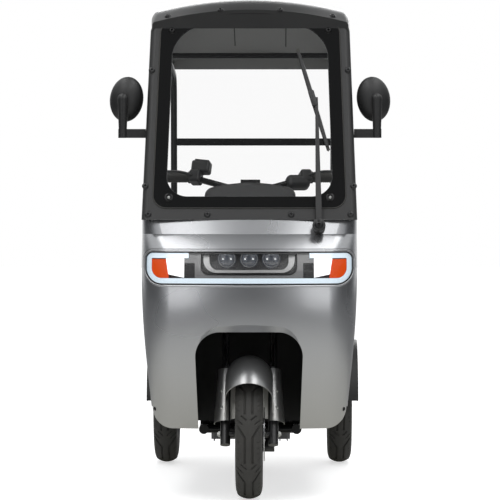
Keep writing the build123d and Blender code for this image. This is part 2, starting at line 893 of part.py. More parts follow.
def light_guide():
    """The white light guide that follows the band's edge, open above the middle."""
    layer = skin_layer(guide_front, guide_back)
    ring = band_block(guide_inset) - band_block(guide_inset + guide_width)
    gap = block(symmetric(guide_open_half), (fairing_nose_y - cut_over, band_deep_y + cut_over),
                (guide_hook_z, band_top + cut_over))
    return (layer & ring) - gap


def lamp_cells(corners):
    """A pair of cells standing on the tray's floor, one on each side, from one side's corners in front view."""
    face = make_face(Polyline(*corners, close=True))
    layer = skin_layer(indicator_front, tray_floor_depth) & band_block(guide_inset + guide_width + lens_edge_gap)
    return [layer & through_front(one, fairing_nose_y - cut_over, band_deep_y)
            for one in (face, mirror(face, about=Plane.YZ))]


def divider_x(z):
    """Where the slanting line between the indicator and the reflector lies at a height."""
    return indicator_inner + indicator_lean * (z - indicator_top) / (indicator_top - indicator_low)


def lamp_bezel():
    """The grey bezel over the middle of the tray, cut out for the projectors and a dark slot each side."""
    layer = skin_layer(bezel_front, tray_floor_depth)
    span = (fairing_nose_y - cut_over, band_deep_y + cut_over)
    guide_room = band_block(guide_inset) & block(symmetric(guide_open_half - seat_gap), span,
                                                 (guide_hook_z, band_top))
    room = band_block(guide_inset + guide_width + seat_gap) + guide_room
    plate = layer & room & block(symmetric(bezel_half), span, (0, cowl_z))
    recess = make_face(Polyline((-pod_recess_half, pod_recess_low), (pod_recess_half, pod_recess_low),
                                (pod_recess_half, pod_recess_top), (-pod_recess_half, pod_recess_top),
                                close=True))
    recess = fillet(recess.vertices().sort_by(Axis.Y)[:2], pod_recess_corner)
    plate = plate - through_front(recess, *span)
    for side in (-1, 1):
        slot = sorted((side * bezel_slot_inner, side * (bezel_half + cut_over)))
        plate = plate - block(slot, span, (0, bezel_slot_top))
    return plate


def indicators():
    return lamp_cells([(divider_x(indicator_low), indicator_low), (indicator_outer, indicator_low),
                       (indicator_outer, indicator_top), (divider_x(indicator_top), indicator_top)])


def side_reflectors():
    outer_low = reflector_low + reflector_rise
    return lamp_cells([(reflector_inner, reflector_low), (divider_x(outer_low) - lens_edge_gap, outer_low),
                       (divider_x(band_top) - lens_edge_gap, band_top), (reflector_inner, band_top)])


def skin_y(z):
    """Where the middle of the fairing's skin lies at a height, going straight from section to section."""
    share = (z - fairing_low) / (cowl_z - fairing_low)
    below = [row for row in fairing_shares if row[0] <= share][-1]
    above = [row for row in fairing_shares if row[0] > share][0]
    along = (share - below[0]) / (above[0] - below[0])
    set_back = below[2] + along * (above[2] - below[2])
    return fairing_nose_y + set_back * (fairing_back_y - fairing_nose_y)


def projectors():
    """Three domed lenses in deep round rims on the tray's floor, cut off level under the bezel's top."""
    top = pod_recess_top - seat_gap
    front = skin_y(top) + lens_wall + lens_edge_gap
    base = front + projector_bulge
    back = skin_y(top) + tray_floor_depth
    rim_r = projector_radius + projector_rim
    ball = (projector_radius ** 2 + projector_bulge ** 2) / (2 * projector_bulge)
    half_way = (projector_radius / 2, front + ball - (ball ** 2 - projector_radius ** 2 / 4) ** 0.5)
    profile = make_face(Curve() + [
        ThreePointArc((0, front), half_way, (projector_radius, base)),
        Line((projector_radius, base), (rim_r, base)),
        Line((rim_r, base), (rim_r, back)),
        Line((rim_r, back), (0, back)),
        Line((0, back), (0, front)),
    ])
    lens = revolve(profile, axis=Axis.Y)
    ends = fairing_body(tray_floor_depth, cowl_z, fairing_back_y)
    level = block(symmetric(pod_recess_half), (front - cut_over, back + cut_over), (0, top))
    return [((Pos(place * projector_pitch, 0, projector_z) * lens) & level) - ends for place in (-1, 0, 1)]


def lamp_trim():
    """The bright U-shaped trim round the projectors."""
    def u_face(half, low, corner, top):
        face = make_face(Polyline((-half, low), (half, low), (half, top), (-half, top), close=True))
        return fillet(face.vertices().sort_by(Axis.Y)[:2], corner)

    face = u_face(trim_half, trim_low, trim_corner, trim_top)
    hole = u_face(trim_half - trim_side, trim_low + trim_foot, trim_inner_corner, trim_top + cut_over)
    layer = skin_layer(tray_floor_depth - trim_depth, tray_floor_depth)
    return layer & through_front(face - hole, fairing_nose_y - cut_over, band_deep_y)


# Windscreen, its frame and its wiper, in the screen's leaning plane


def screen_half_at(up):
    """Half the frame's width at a height up the screen."""
    return fairing_half + (screen_top_half - fairing_half) * up / screen_height


def screen_outline(side_inset, foot, top_inset, rise, corner, foot_corner):
    """The screen's outline inset from the frame's: straight sides, a bowed top and round corners."""
    top = screen_height - top_inset
    low_x, high_x = screen_half_at(foot) - side_inset, screen_half_at(top) - side_inset
    face = make_face(Curve() + [
        Line((-low_x, foot), (low_x, foot)),
        Line((low_x, foot), (high_x, top - rise)),
        ThreePointArc((high_x, top - rise), (0, top), (-high_x, top - rise)),
        Line((-high_x, top - rise), (-low_x, foot)),
    ])
    face = fillet(face.vertices().sort_by(Axis.Y)[-2:], corner)
    if foot_corner:
        face = fillet(face.vertices().sort_by(Axis.Y)[:2], foot_corner)
    return face


def screen_block(face, front, back):
    """A screen outline carried from one depth to another; the depths are along the outward normal."""
    return screen_plane * (Pos(0, 0, back) * extrude(face, amount=front - back))


def level_band(low, high):
    """Everything near the screen between two heights above the ground."""
    wide = symmetric(fairing_half + cut_over)
    return block(wide, (fairing_nose_y - cut_over, roof_back_y), (low, high))


def screen_form(grow):
    """The whole outer form of the windscreen frame, grown a little for a fit."""
    face = screen_outline(-grow, -screen_side_depth, -grow, screen_top_rise, screen_top_corner + grow, 0)
    form = screen_block(face, grow, -screen_side_depth)
    middles = [(edge, screen_plane.to_local_coords(edge.center())) for edge in form.edges()]
    edges = [edge for edge, middle in middles if abs(middle.Z - grow) < seat_gap / 2 and middle.Y > 0]
    return fillet(edges, screen_round + grow)


def windscreen_frame():
    """The black frame: a front flange and two deep sides, with a seat for the glass and the window cut."""
    below = -screen_side_depth
    outer = screen_form(0)
    hollow = screen_block(
        screen_outline(screen_wall, below, screen_wall, screen_top_rise, screen_top_corner - screen_wall, 0),
        -screen_flange - screen_wall, -screen_side_depth - cut_over)
    seat = screen_block(
        screen_outline(glass_inset - seat_gap, glass_low - seat_gap, glass_top_inset - seat_gap, glass_rise,
                       glass_corner, glass_corner), cut_over, -glass_thick)
    window = screen_block(
        screen_outline(glass_inset + window_inset, window_low, window_top_inset, glass_rise,
                       window_top_corner, window_low_corner), cut_over, -screen_side_depth - cut_over)
    frame = outer - hollow - seat - window
    return frame & level_band(cowl_z + seat_gap, roof_top)


def windscreen():
    """The clear screen, lying in its seat and standing just proud of the frame."""
    face = screen_outline(glass_inset, glass_low, glass_top_inset, glass_rise, glass_corner, glass_corner)
    return screen_block(face, seat_gap, seat_gap - glass_thick)


def wiper_motor():
    """The wiper's drive boss, through the fairing below the screen, with its spindle."""
    boss = Pos(wiper_x, -wiper_drop, (wiper_boss_out - wiper_boss_in) / 2) * Cylinder(
        wiper_boss_radius, wiper_boss_out + wiper_boss_in)
    shaft_tall = wiper_hub_thick - arm_thick
    shaft = Pos(wiper_x, -wiper_drop, wiper_boss_out + shaft_tall / 2) * Cylinder(wiper_shaft, shaft_tall)
    return screen_plane * (boss + shaft)


def wiper_arm():
    """The wiper arm: a capped hub and a tapered flat arm up to the blade."""
    low = wiper_boss_out + seat_gap * 2
    hub = Pos(wiper_x, -wiper_drop, low + wiper_hub_thick / 2) * Cylinder(wiper_hub_radius, wiper_hub_thick)
    top = hub.faces().sort_by(Axis.Z)[-1]
    hub = fillet(top.edges(), arm_thick)
    arm_low = max(low, blade_high + seat_gap)
    end_x, end_y = arm_end
    wide_x = wiper_x + arm_wide_share * (end_x - wiper_x)
    wide_y = arm_wide_share * (end_y + wiper_drop) - wiper_drop
    face = make_face(Polyline((wiper_x - arm_root_half, -wiper_drop), (wiper_x + arm_root_half, -wiper_drop),
                              (wide_x + arm_wide_half, wide_y), (end_x + arm_tip_half, end_y),
                              (end_x - arm_tip_half, end_y), (wide_x - arm_wide_half, wide_y), close=True))
    arm = Pos(0, 0, arm_low) * extrude(face, amount=arm_thick)
    hole = Pos(wiper_x, -wiper_drop, wiper_boss_out) * Cylinder(
        wiper_shaft + running_gap, 2 * (wiper_hub_thick - arm_thick) + seat_gap)
    return screen_plane * (hub + arm - hole)


def wiper_blade():
    """The blade: a long carrier with a saddle under the arm's end and a narrow rubber edge."""
    run = Vector(blade_top[0] - blade_foot[0], blade_top[1] - blade_foot[1])
    way = run.normalized()
    side = Vector(-way.Y, way.X)
    foot, top = Vector(*blade_foot), Vector(*blade_top)
    carrier_low = (blade_low + blade_high) / 2

    def strip(start, end, half, low, high):
        corners = [start + side * half, end + side * half, end - side * half, start - side * half]
        face = make_face(Polyline(*[(c.X, c.Y) for c in corners], close=True))
        return Pos(0, 0, low) * extrude(face, amount=high - low)

    middle = (foot + top) / 2
    blade = strip(foot, top, blade_half, carrier_low, (carrier_low + blade_high) / 2)
    rubber = strip(foot, top, blade_half / 3, blade_low, carrier_low)
    saddle = strip(middle - way * blade_saddle, middle + way * blade_saddle, blade_half + seat_gap,
                   carrier_low, blade_high)
    return screen_plane * (blade + rubber + saddle)


# Roof


def roof_form(inset):
    """The roof's whole outer form inset from its skin: a crowned hull dropping to the back."""
    length = roof_back_y - roof_front_y
    sections = []
    for index, (along, width, drop, corner) in enumerate(roof_shares):
        end_trim = inset if index == 0 else (-inset if index == len(roof_shares) - 1 else 0)
        face = bowed_outline(roof_half * width - inset, roof_top - drop * roof_crown_drop - inset,
                             roof_rim - roof_rim_drop * along - (cut_over if inset else 0),
                             roof_bow - inset, roof_corner * corner - inset)
        sections.append(upright(roof_front_y + along * length + end_trim) * face)
    return loft(sections)


def roof():
    """The black roof shell, open below, with its rim falling to the back."""
    return roof_form(0) - roof_form(roof_wall) - screen_form(seat_gap)


def roof_frame():
    """Two side tubes under the roof that turn down behind the seats, a crossbar and a roof bow."""
    side_tubes = []
    for side in (-1, 1):
        places = (hoop_front, hoop_shoulder, hoop_waist, hoop_foot)
        points = [(side * hoop_x, y, z) for y, z in places]
        side_tubes.append(tube(points, hoop_radius, hoop_bend))
    share = (crossbar_z - hoop_waist[1]) / (hoop_shoulder[1] - hoop_waist[1])
    bar_y = hoop_waist[0] + share * (hoop_shoulder[0] - hoop_waist[0])
    crossbar = block(symmetric(hoop_x), (bar_y - crossbar_deep / 2, bar_y + crossbar_deep / 2),
                     (crossbar_z - crossbar_tall / 2, crossbar_z + crossbar_tall / 2))
    share = (roof_bow_tube_y - hoop_front[0]) / (hoop_shoulder[0] - hoop_front[0])
    bow_z = hoop_front[1] + share * (hoop_shoulder[1] - hoop_front[1])
    roof_bow_tube = rod((-hoop_x, roof_bow_tube_y, bow_z), (hoop_x, roof_bow_tube_y, bow_z), roof_bow_radius)
    back_bar = rod((-hoop_x, hoop_waist[0], rear_back_bar_z), (hoop_x, hoop_waist[0], rear_back_bar_z),
                   back_bar_radius)
    frame = side_tubes[0] + side_tubes[1] + crossbar + roof_bow_tube + back_bar
    low = body_rear_top + seat_gap
    for x in (-hoop_x, hoop_x):
        frame = frame + block((x - hoop_plate_half, x + hoop_plate_half),
                              (hoop_foot[0] - hoop_plate_half, hoop_foot[0] + hoop_plate_half),
                              (low, low + hoop_plate_thick))
    return frame


# Mirrors


def screen_y_at(z):
    """Where the screen's front plane lies at a height."""
    return screen_foot_y + (z - cowl_z) * tan(radians(screen_lean))


def mirror_centre_y():
    return screen_y_at(mirror_z) + screen_side_depth / 2


def mirror_bodies():
    """Each mirror: a flat arm off the screen frame, an upright neck and an oval bowl open to the rider."""
    y = mirror_centre_y()
    half = mirror_arm_tall / 2
    start = screen_half_at((mirror_z - cowl_z) / lean_cos) + seat_gap
    arm = block((start, mirror_arm_out), (y - mirror_arm_thick / 2, y + mirror_arm_thick / 2),
                (mirror_z - half, mirror_z + half))
    neck_x = mirror_arm_out - half
    post = rod((neck_x, y, mirror_z - half), (neck_x, y, mirror_z + half), half)
    foot_y = y + mirror_arm_thick / 2
    neck = Pos(neck_x, y, mirror_z + half) * Cone(
        neck_low_radius, neck_top_radius, mirror_centre_z - mirror_z - half, align=standing_up)
    neck = neck + Pos(neck_x, y, mirror_centre_z) * Sphere(neck_top_radius)
    bowl_y = foot_y + mirror_deep
    spoon = scale(Sphere(1), by=(mirror_half_wide, mirror_deep, mirror_half_tall))
    bowl = spoon - block(symmetric(mirror_half_wide + cut_over), (0, mirror_deep + cut_over),
                         symmetric(mirror_half_tall + cut_over))
    rim_face = Plane.XZ * Ellipse(mirror_half_wide, mirror_half_tall)
    bowl = bowl + extrude(rim_face, amount=-mirror_rim)
    recess = Plane.XZ.offset(-mirror_rim - cut_over) * Ellipse(mirror_half_wide - mirror_glass_inset,
                                                             mirror_half_tall - mirror_glass_inset)
    bowl = bowl - extrude(recess, amount=cut_over + mirror_glass_thick)
    placed = Pos(mirror_x, bowl_y, mirror_centre_z) * Rot(Y=-mirror_tilt) * bowl
    left = arm + post + neck + placed
    return both_sides(left)


def mirror_glasses():
    """The oval mirror glasses, lying in the bowls' recesses."""
    y = mirror_centre_y() + mirror_arm_thick / 2 + mirror_deep
    face = Plane.XZ.offset(-mirror_rim) * Ellipse(mirror_half_wide - mirror_glass_inset - seat_gap,
                                                  mirror_half_tall - mirror_glass_inset - seat_gap)
    glass = extrude(face, amount=mirror_glass_thick)
    return both_sides(Pos(mirror_x, y, mirror_centre_z) * Rot(Y=-mirror_tilt) * glass)


# Chassis


def chassis_frame():
    """Two rails kicked up over the axle, cross tubes, the down tube and the head tube."""
    rail_points = [(rail_x, rail_front_y, rail_z), (rail_x, rail_kick_y, rail_z),
                   (rail_x, rail_rear_y, rail_rear_z), (rail_x, rail_end_y, rail_rear_z)]
    rail = tube(rail_points, rail_radius, rail_bend)
    frame = rail + mirror(rail, about=Plane.YZ)
    crosses = [(y, rail_z) for y in cross_places_y]
    crosses += [(rail_front_y + rail_radius, rail_z), (spring_head[0], rail_rear_z),
                (rail_end_y - rail_radius, rail_rear_z)]
    for y, z in crosses:
        frame = frame + rod((-rail_x, y, z), (rail_x, y, z), cross_radius)
    head_low = Vector(*steer_plane.from_local_coords((0, 0, head_tube_low)))
    head_top = Vector(*steer_plane.from_local_coords((0, 0, head_tube_top)))
    way = (head_top - head_low).normalized()
    middle = head_low + way * ((head_tube_top - head_tube_low) * 3 / 4)
    knee = (0, down_foot[0], middle.Z - down_bend * 2)
    down = tube([middle, knee, (0, down_foot[0] + rail_radius, down_foot[1])], rail_radius, down_bend)
    frame = frame + down + rod(head_low, head_top, head_tube_radius)
    for y in cross_places_y[:2]:
        for x in (-rail_x, rail_x):
            frame = frame + block((x - floor_post_half, x + floor_post_half),
                                  (y - floor_post_half, y + floor_post_half),
                                  (rail_z, floor_top - floor_thick))
    bore = rod(head_low - way * cut_over, head_top + way * cut_over, stem_radius + running_gap)
    return frame - bore


def floor_board():
    """The flat footboard between the leg shield and the seat body."""
    board = block(symmetric(floor_half), (fairing_back_y + seat_gap, body_front_y - seat_gap),
                  (floor_top - floor_thick, floor_top))
    top = board.faces().sort_by(Axis.Z)[-1]
    return fillet(top.edges(), floor_round)


def controller_box():
    """The finned controller case slung under the floor between the rails."""
    low, high = tray_box_z
    case = block(symmetric(tray_box_half), tray_box_y, (low + tray_fin_height, high))
    case = fillet(case.edges().filter_by(Axis.Z), tray_box_round)
    step = 2 * (tray_box_half - tray_box_round) / (tray_fin_count - 1)
    for index in range(tray_fin_count):
        x = index * step - (tray_box_half - tray_box_round)
        case = case + block((x - tray_fin_thick / 2, x + tray_fin_thick / 2),
                            (tray_box_y[0] + tray_box_round, tray_box_y[1] - tray_box_round),
                            (low, low + tray_fin_height + tray_fin_thick))
    middle = (tray_box_y[0] + tray_box_y[1]) / 2
    for x in (-tray_hanger_x, tray_hanger_x):
        case = case + block((x - tray_hanger_half, x + tray_hanger_half),
                            (middle - tray_hanger_half, middle + tray_hanger_half),
                            (high - tray_box_round, floor_top - floor_thick - seat_gap))
    return case


# Rear body


def body_side_face(inset):
    """The rear body in side view: a seat step, a raised rear deck and a sloping tail, open below if inset."""
    drop = cut_over if inset > 0 else 0
    return make_face(Polyline(
        (body_front_y + inset, body_low - drop), (body_front_y + inset, body_top - inset),
        (body_step_y + inset, body_top - inset), (body_step_y + inset, body_rear_top - inset),
        (body_tail_break_y - inset, body_rear_top - inset),
        (body_tail_y - inset, body_tail_top - inset), (body_tail_y - inset, body_tail_low - drop),
        (rear_axle_y + mud_outer, body_rear_low - drop), (rear_axle_y + mud_outer, body_low - drop),
        close=True))


def body_plan_face(inset):
    """The rear body in plan: a narrow front between the legs, wide hips and a round tail."""
    half, front = body_half - inset, body_front_half - inset
    tail = body_tail_y - inset
    face = make_face(Polyline(
        (-front, body_front_y + inset), (front, body_front_y + inset), (half, body_waist_y),
        (half, tail), (-half, tail), (-half, body_waist_y), close=True))
    face = fillet(face.vertices().group_by(Axis.Y)[-1], body_tail_corner - inset)
    face = fillet(face.vertices().group_by(Axis.Y)[0], body_side_round - inset)
    waist = [v for v in face.vertices() if abs(v.Y - body_waist_y) < seat_gap]
    return fillet(waist, body_tail_corner)


def body_form(inset):
    side = Plane(origin=(-body_half, 0, 0), x_dir=(0, 1, 0), z_dir=(1, 0, 0)) * body_side_face(inset)
    plan = extrude(body_plan_face(inset), amount=roof_rim)
    return extrude(side, amount=2 * body_half) & plan


def rear_body():
    """The silver seat body: a thin shell open below, with wheel arches and a hatch under the front seat."""
    outer = body_form(0)
    tops = [edge for edge in outer.faces().sort_by(Axis.Z)[-1].edges() if edge.center().Y > body_step_y]
    outer = fillet(tops, body_side_round / 2)
    inner = body_form(body_wall)
    reach = body_half + cut_over
    ends = [(side * reach, rear_axle_y, wheel_radius) for side in (-1, 1)]
    arches = rod(*ends, mud_outer + seat_gap)
    hatch = block(symmetric(hatch_half), hatch_y, (body_top - cut_over, body_top + cut_over))
    return outer - inner - arches - hatch


def rear_mudguards():
    """Black mudguards round the rear wheels, with an inner wall and an outer lip."""
    ring_outer, ring_inner = mud_outer, mud_outer - mud_wall
    profile = make_face(Polyline(
        (mud_inner_x, mud_plate_low), (mud_inner_x + mud_wall, mud_plate_low),
        (mud_inner_x + mud_wall, ring_inner), (mud_outer_x - mud_wall, ring_inner),
        (mud_outer_x - mud_wall, ring_outer - mud_lip), (mud_outer_x, ring_outer - mud_lip),
        (mud_outer_x, ring_outer), (mud_inner_x, ring_outer), close=True))
    standing = Plane(origin=(0, 0, 0), x_dir=(1, 0, 0), z_dir=(0, -1, 0)) * profile
    start = 90 - mud_front_angle
    sweep_angle = 180 - mud_front_angle - mud_rear_angle
    guard = revolve(Rot(X=start) * standing, axis=Axis.X, revolution_arc=-sweep_angle)
    placed = Pos(0, rear_axle_y, wheel_radius) * guard
    return both_sides(placed)


def rear_axle():
    """Axle beam with a finned hub drive off centre, brake drums and stub shafts for the wheels."""
    beam = rod((-beam_half, 0, 0), (beam_half, 0, 0), beam_radius)
    stub_end = rear_wheel_x + hub_half
    stub = rod((-stub_end, 0, 0), (stub_end, 0, 0), stub_radius)
    drive = rod((drive_x - drive_half, 0, 0), (drive_x + drive_half, 0, 0), drive_radius)
    step = 2 * (drive_half - drive_rib_thick) / (drive_rib_count - 1)
    axle = beam + stub + drive
    for index in range(drive_rib_count):
        x = drive_x - drive_half + drive_rib_thick + index * step
        axle = axle + rod((x - drive_rib_thick / 2, 0, 0), (x + drive_rib_thick / 2, 0, 0),
                          drive_radius + drive_rib_height)
    drum_out = rear_wheel_x - hub_half - wheel_side_gap
    for side in (-1, 1):
        axle = axle + rod((side * (drum_out - drum_thick), 0, 0), (side * drum_out, 0, 0), drum_radius)
    return Pos(0, rear_axle_y, wheel_radius) * axle


def trailing_arms():
    """Flat arms from the rails to the axle beam."""
    made = []
    y, z = arm_pivot
    for side in (-1, 1):
        inner = side * (rail_x + rail_radius + seat_gap)
        outer = inner + side * arm_wide
        span = sorted((inner, outer))
        start = Vector(0, y, z)
        end = Vector(0, rear_axle_y, wheel_radius)
        run = end - start
        plane = Plane(origin=(span[0], start.Y, start.Z), x_dir=(0, run.Y, run.Z), z_dir=(1, 0, 0))
        face = Pos(run.length / 2, 0) * SlotCenterToCenter(run.length, arm_tall)
        arm = extrude(plane * face, amount=arm_wide)
        arm = arm - rod((-body_half, rear_axle_y, wheel_radius), (body_half, rear_axle_y, wheel_radius),
                        beam_radius + seat_gap)
        made.append(arm)
    return made


def springs():
    """Coil-over shock absorbers from the axle up to the frame."""
    axle = Vector(spring_x, rear_axle_y, wheel_radius)
    head = Vector(spring_x, *spring_head)
    way = (head - axle).normalized()
    foot = axle + way * (beam_radius + seat_gap)
    run = head - foot
    shape = rod(foot, head, spring_tube_radius)
    shape = shape + rod((rail_x + rail_radius + seat_gap, *spring_head), head, spring_bolt)
    for index in range(spring_coils):
        centre = foot + run * ((index + 1.5) / (spring_coils + 2))
        level = Plane(origin=centre, z_dir=way)
        ring_radius = spring_coil_radius - spring_coil_wire
        shape = shape + level * Torus(ring_radius, spring_coil_wire)
        shape = shape + level * Cylinder(ring_radius, spring_coil_wire / 2)
    return both_sides(shape)


# Seats


def cushion(half, y_span, z_span):
    return fillet(block(symmetric(half), y_span, z_span).edges(), cushion_round)


def driver_seat_pan():
    """The plate under the driver's cushion, with the hinge knuckle along its front edge."""
    low = body_top + seat_gap
    pan = block(symmetric(driver_seat_half - cushion_round), (driver_seat_y[0] + cushion_round,
                driver_seat_y[1] - seat_gap), (low, low + driver_pan_thick))
    z = body_top + hinge_rise
    leaf = block(symmetric(hinge_half), (hinge_y, driver_seat_y[0] + 2 * cushion_round),
                 (z - hinge_leaf / 2, z + hinge_leaf / 2))
    knuckle = rod((-hinge_half, hinge_y, z), (hinge_half, hinge_y, z), hinge_radius)
    reach = hinge_half + cut_over
    bore = rod((-reach, hinge_y, z), (reach, hinge_y, z), hinge_pin_radius + running_gap)
    return pan + leaf + knuckle - bore


def seat_hinge():
    """The hinge pin of the driver's seat, in two lugs on the seat body's front edge."""
    z = body_top + hinge_rise
    outer = hinge_half + seat_gap + hinge_lug
    hinge = rod((-outer, hinge_y, z), (outer, hinge_y, z), hinge_pin_radius)
    for side in (-1, 1):
        span = sorted((side * outer, side * (hinge_half + seat_gap)))
        hinge = hinge + block(span, (hinge_y - hinge_radius, hinge_y + hinge_radius),
                              (body_top + seat_gap, z + hinge_radius))
    return hinge


def driver_cushion():
    low = body_top + 2 * seat_gap + driver_pan_thick
    return cushion(driver_seat_half, driver_seat_y, (low, low + driver_seat_thick))


def driver_backrest():
    return cushion(driver_back_half, driver_back_y, driver_back_z)


def backrest_bracket():
    """Uprights from the seat body's step that hold the driver's backrest."""
    made = []
    y_mid = (driver_back_y[0] + driver_back_y[1]) / 2
    low = body_rear_top + seat_gap
    for side in (-1, 1):
        x = side * driver_back_half / 2
        made.append(block((x - back_bracket_half, x + back_bracket_half),
                          (y_mid - back_bracket_half / 2, y_mid + back_bracket_half / 2),
                          (low, driver_back_z[0] - seat_gap)))
    return made


def rear_cushion():
    low = body_rear_top + seat_gap
    return cushion(rear_seat_half, rear_seat_y, (low, low + rear_seat_thick))


def rear_backrest():
    back = hoop_waist[0] - back_bar_radius - seat_gap
    return cushion(rear_back_half, (back - rear_back_thick, back), rear_back_z)


# Tail


def tail_lamps():
    """Red lamps standing on the rounded corners of the tail."""
    form = body_form(-lamp_deep) - body_form(-seat_gap)
    made = []
    for side in (-1, 1):
        span = sorted((side * (lamp_x - lamp_half), side * (lamp_x + lamp_half)))
        cell = block(span, (body_tail_y - body_tail_corner, body_tail_y + lamp_deep + cut_over),
                     (lamp_z - lamp_tall / 2, lamp_z + lamp_tall / 2))
        made.append(form & fillet(cell.edges().filter_by(Axis.Y), lamp_round))
    return made


def plate_holder():
    """The blank plate on its stem, with two bolt holes."""
    plate_y = body_tail_y + plate_stand_off
    plate = block(symmetric(plate_half), (plate_y, plate_y + plate_thick),
                  (plate_low, plate_low + plate_tall))
    stem = block(symmetric(plate_stem_half), (body_tail_y + seat_gap, plate_y + plate_thick / 2),
                 (plate_low + plate_tall / 2, plate_low + plate_tall))
    holder = plate + stem
    z = plate_low + plate_tall / 2
    for x in (-plate_hole_x, plate_hole_x):
        holder = holder - rod((x, plate_y - cut_over, z), (x, plate_y + cut_over, z), plate_hole_radius)
    return holder


def rear_bumper():
    """A bent tube across the tail, hung under the ends of the chassis rails."""
    top = rail_rear_z - rail_radius - seat_gap
    half = [(rail_x, bumper_drop_y, top), (rail_x, bumper_drop_y, bumper_z), (rail_x, bumper_y, bumper_z)]
    points = half + [(-x, y, z) for x, y, z in reversed(half)]
    return tube(points, bumper_radius, bumper_bends)


SUBPARTS = {
    "chassis_frame": chassis_frame,
    "floor_board": floor_board,
    "controller_box": controller_box,
    "front_fairing": front_fairing,
    "wheel_liner": wheel_liner,
    "leg_shield": leg_shield,
    "lamp_tray": lamp_tray,
    "lamp_bezel": lamp_bezel,
    "lamp_cover": lamp_cover,
    "light_guide": light_guide,
    "indicators": indicators,
    "side_reflectors": side_reflectors,
    "projectors": projectors,
    "lamp_trim": lamp_trim,
    "windscreen_frame": windscreen_frame,
    "windscreen": windscreen,
    "wiper_motor": wiper_motor,
    "wiper_arm": wiper_arm,
    "wiper_blade": wiper_blade,
    "roof": roof,
    "roof_frame": roof_frame,
    "mirror_bodies": mirror_bodies,
    "mirror_glasses": mirror_glasses,
    "rear_body": rear_body,
    "rear_mudguards": rear_mudguards,
    "rear_axle": rear_axle,
    "trailing_arms": trailing_arms,
    "springs": springs,
    "battery": lambda: fillet(block(symmetric(battery_half), battery_y, battery_z).edges(), battery_round),
    "seat_hinge": seat_hinge,
    "driver_seat_pan": driver_seat_pan,
    "driver_cushion": driver_cushion,
    "driver_backrest": driver_backrest,
    "backrest_bracket": backrest_bracket,
    "rear_cushion": rear_cushion,
    "rear_backrest": rear_backrest,
    "tail_lamps": tail_lamps,
    "plate_holder": plate_holder,
    "rear_bumper": rear_bumper,
    "fork_sliders": fork_sliders,
    "fork_stanchions": fork_stanchions,
    "steering_stem": steering_stem,
    "handlebar": handlebar,
    "grips": grips,
    "hand_controls": hand_controls,
    "instrument_pod": instrument_pod,
    "front_mudguard": front_mudguard,
    "brake_caliper": brake_caliper,
    "front_tyre": lambda: at_front_axle(tyre()),
    "front_rim": lambda: at_front_axle(rim(disc_hub_end, axle_radius + running_gap)),
    "brake_disc": lambda: at_front_axle(brake_disc()),
    "rear_tyre_left": lambda: at_rear_axle(tyre(), 1),
    "rear_rim_left": lambda: at_rear_axle(rim(hub_half, stub_radius + running_gap), 1),
    "rear_tyre_right": lambda: at_rear_axle(tyre(), -1),
    "rear_rim_right": lambda: at_rear_axle(rim(hub_half, stub_radius + running_gap), -1),
}

os.makedirs("parts", exist_ok=True)
for name, make in SUBPARTS.items():
    made = make()
    solids = [solid for shape in (made if isinstance(made, list) else [made]) for solid in shape.solids()]
    export_step(Compound(children=solids), "parts/" + name + ".step")
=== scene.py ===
import json
from collections import Counter
from math import asin, cos, hypot, pi, radians, sin, sqrt

import bmesh
import bpy
import numpy as np
from mathutils import Matrix, Vector

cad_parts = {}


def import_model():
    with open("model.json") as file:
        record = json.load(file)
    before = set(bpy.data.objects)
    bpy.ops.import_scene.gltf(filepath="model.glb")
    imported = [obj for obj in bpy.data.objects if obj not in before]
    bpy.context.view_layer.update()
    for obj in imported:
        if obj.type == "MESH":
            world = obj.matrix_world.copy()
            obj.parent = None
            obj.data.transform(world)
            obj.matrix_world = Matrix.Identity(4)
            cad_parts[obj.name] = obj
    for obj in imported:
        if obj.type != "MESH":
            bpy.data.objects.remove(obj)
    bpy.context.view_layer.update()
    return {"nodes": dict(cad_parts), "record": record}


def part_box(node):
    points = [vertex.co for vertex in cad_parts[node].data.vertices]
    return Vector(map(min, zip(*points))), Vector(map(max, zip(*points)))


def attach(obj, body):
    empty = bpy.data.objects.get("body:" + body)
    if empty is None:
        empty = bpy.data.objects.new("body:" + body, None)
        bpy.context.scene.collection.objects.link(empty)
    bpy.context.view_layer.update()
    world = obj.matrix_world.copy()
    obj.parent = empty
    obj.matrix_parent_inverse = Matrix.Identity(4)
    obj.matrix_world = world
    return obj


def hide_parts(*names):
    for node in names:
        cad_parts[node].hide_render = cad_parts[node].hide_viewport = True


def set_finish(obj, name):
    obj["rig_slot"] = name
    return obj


# Looks of the electric tricycle with a roof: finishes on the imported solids, tyres with their tread, screws
# and seals, springs, and the sewn seat cushions. Metres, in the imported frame.

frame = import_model()
nodes = frame["nodes"]

MM = 0.001


def middle(node):
    low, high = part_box(node)
    return (low + high) / 2


FRONT_AXLE = middle("front_tyre")
REAR_AXLE = Vector((0.0, middle("rear_tyre_left").y, middle("rear_tyre_left").z))
WHEEL_RADIUS = FRONT_AXLE.z
REAR_WHEEL_X = middle("rear_tyre_left").x
RAKE = radians(22)
FORK_OFFSET = 25 * MM
BAR_HEIGHT = 900 * MM
SCREEN_LEAN = radians(22)
SCREEN_OUT = Vector((0.0, -cos(SCREEN_LEAN), sin(SCREEN_LEAN)))
SCREEN_FOOT = Vector((0.0, -0.752, 0.930))


# Shader sums


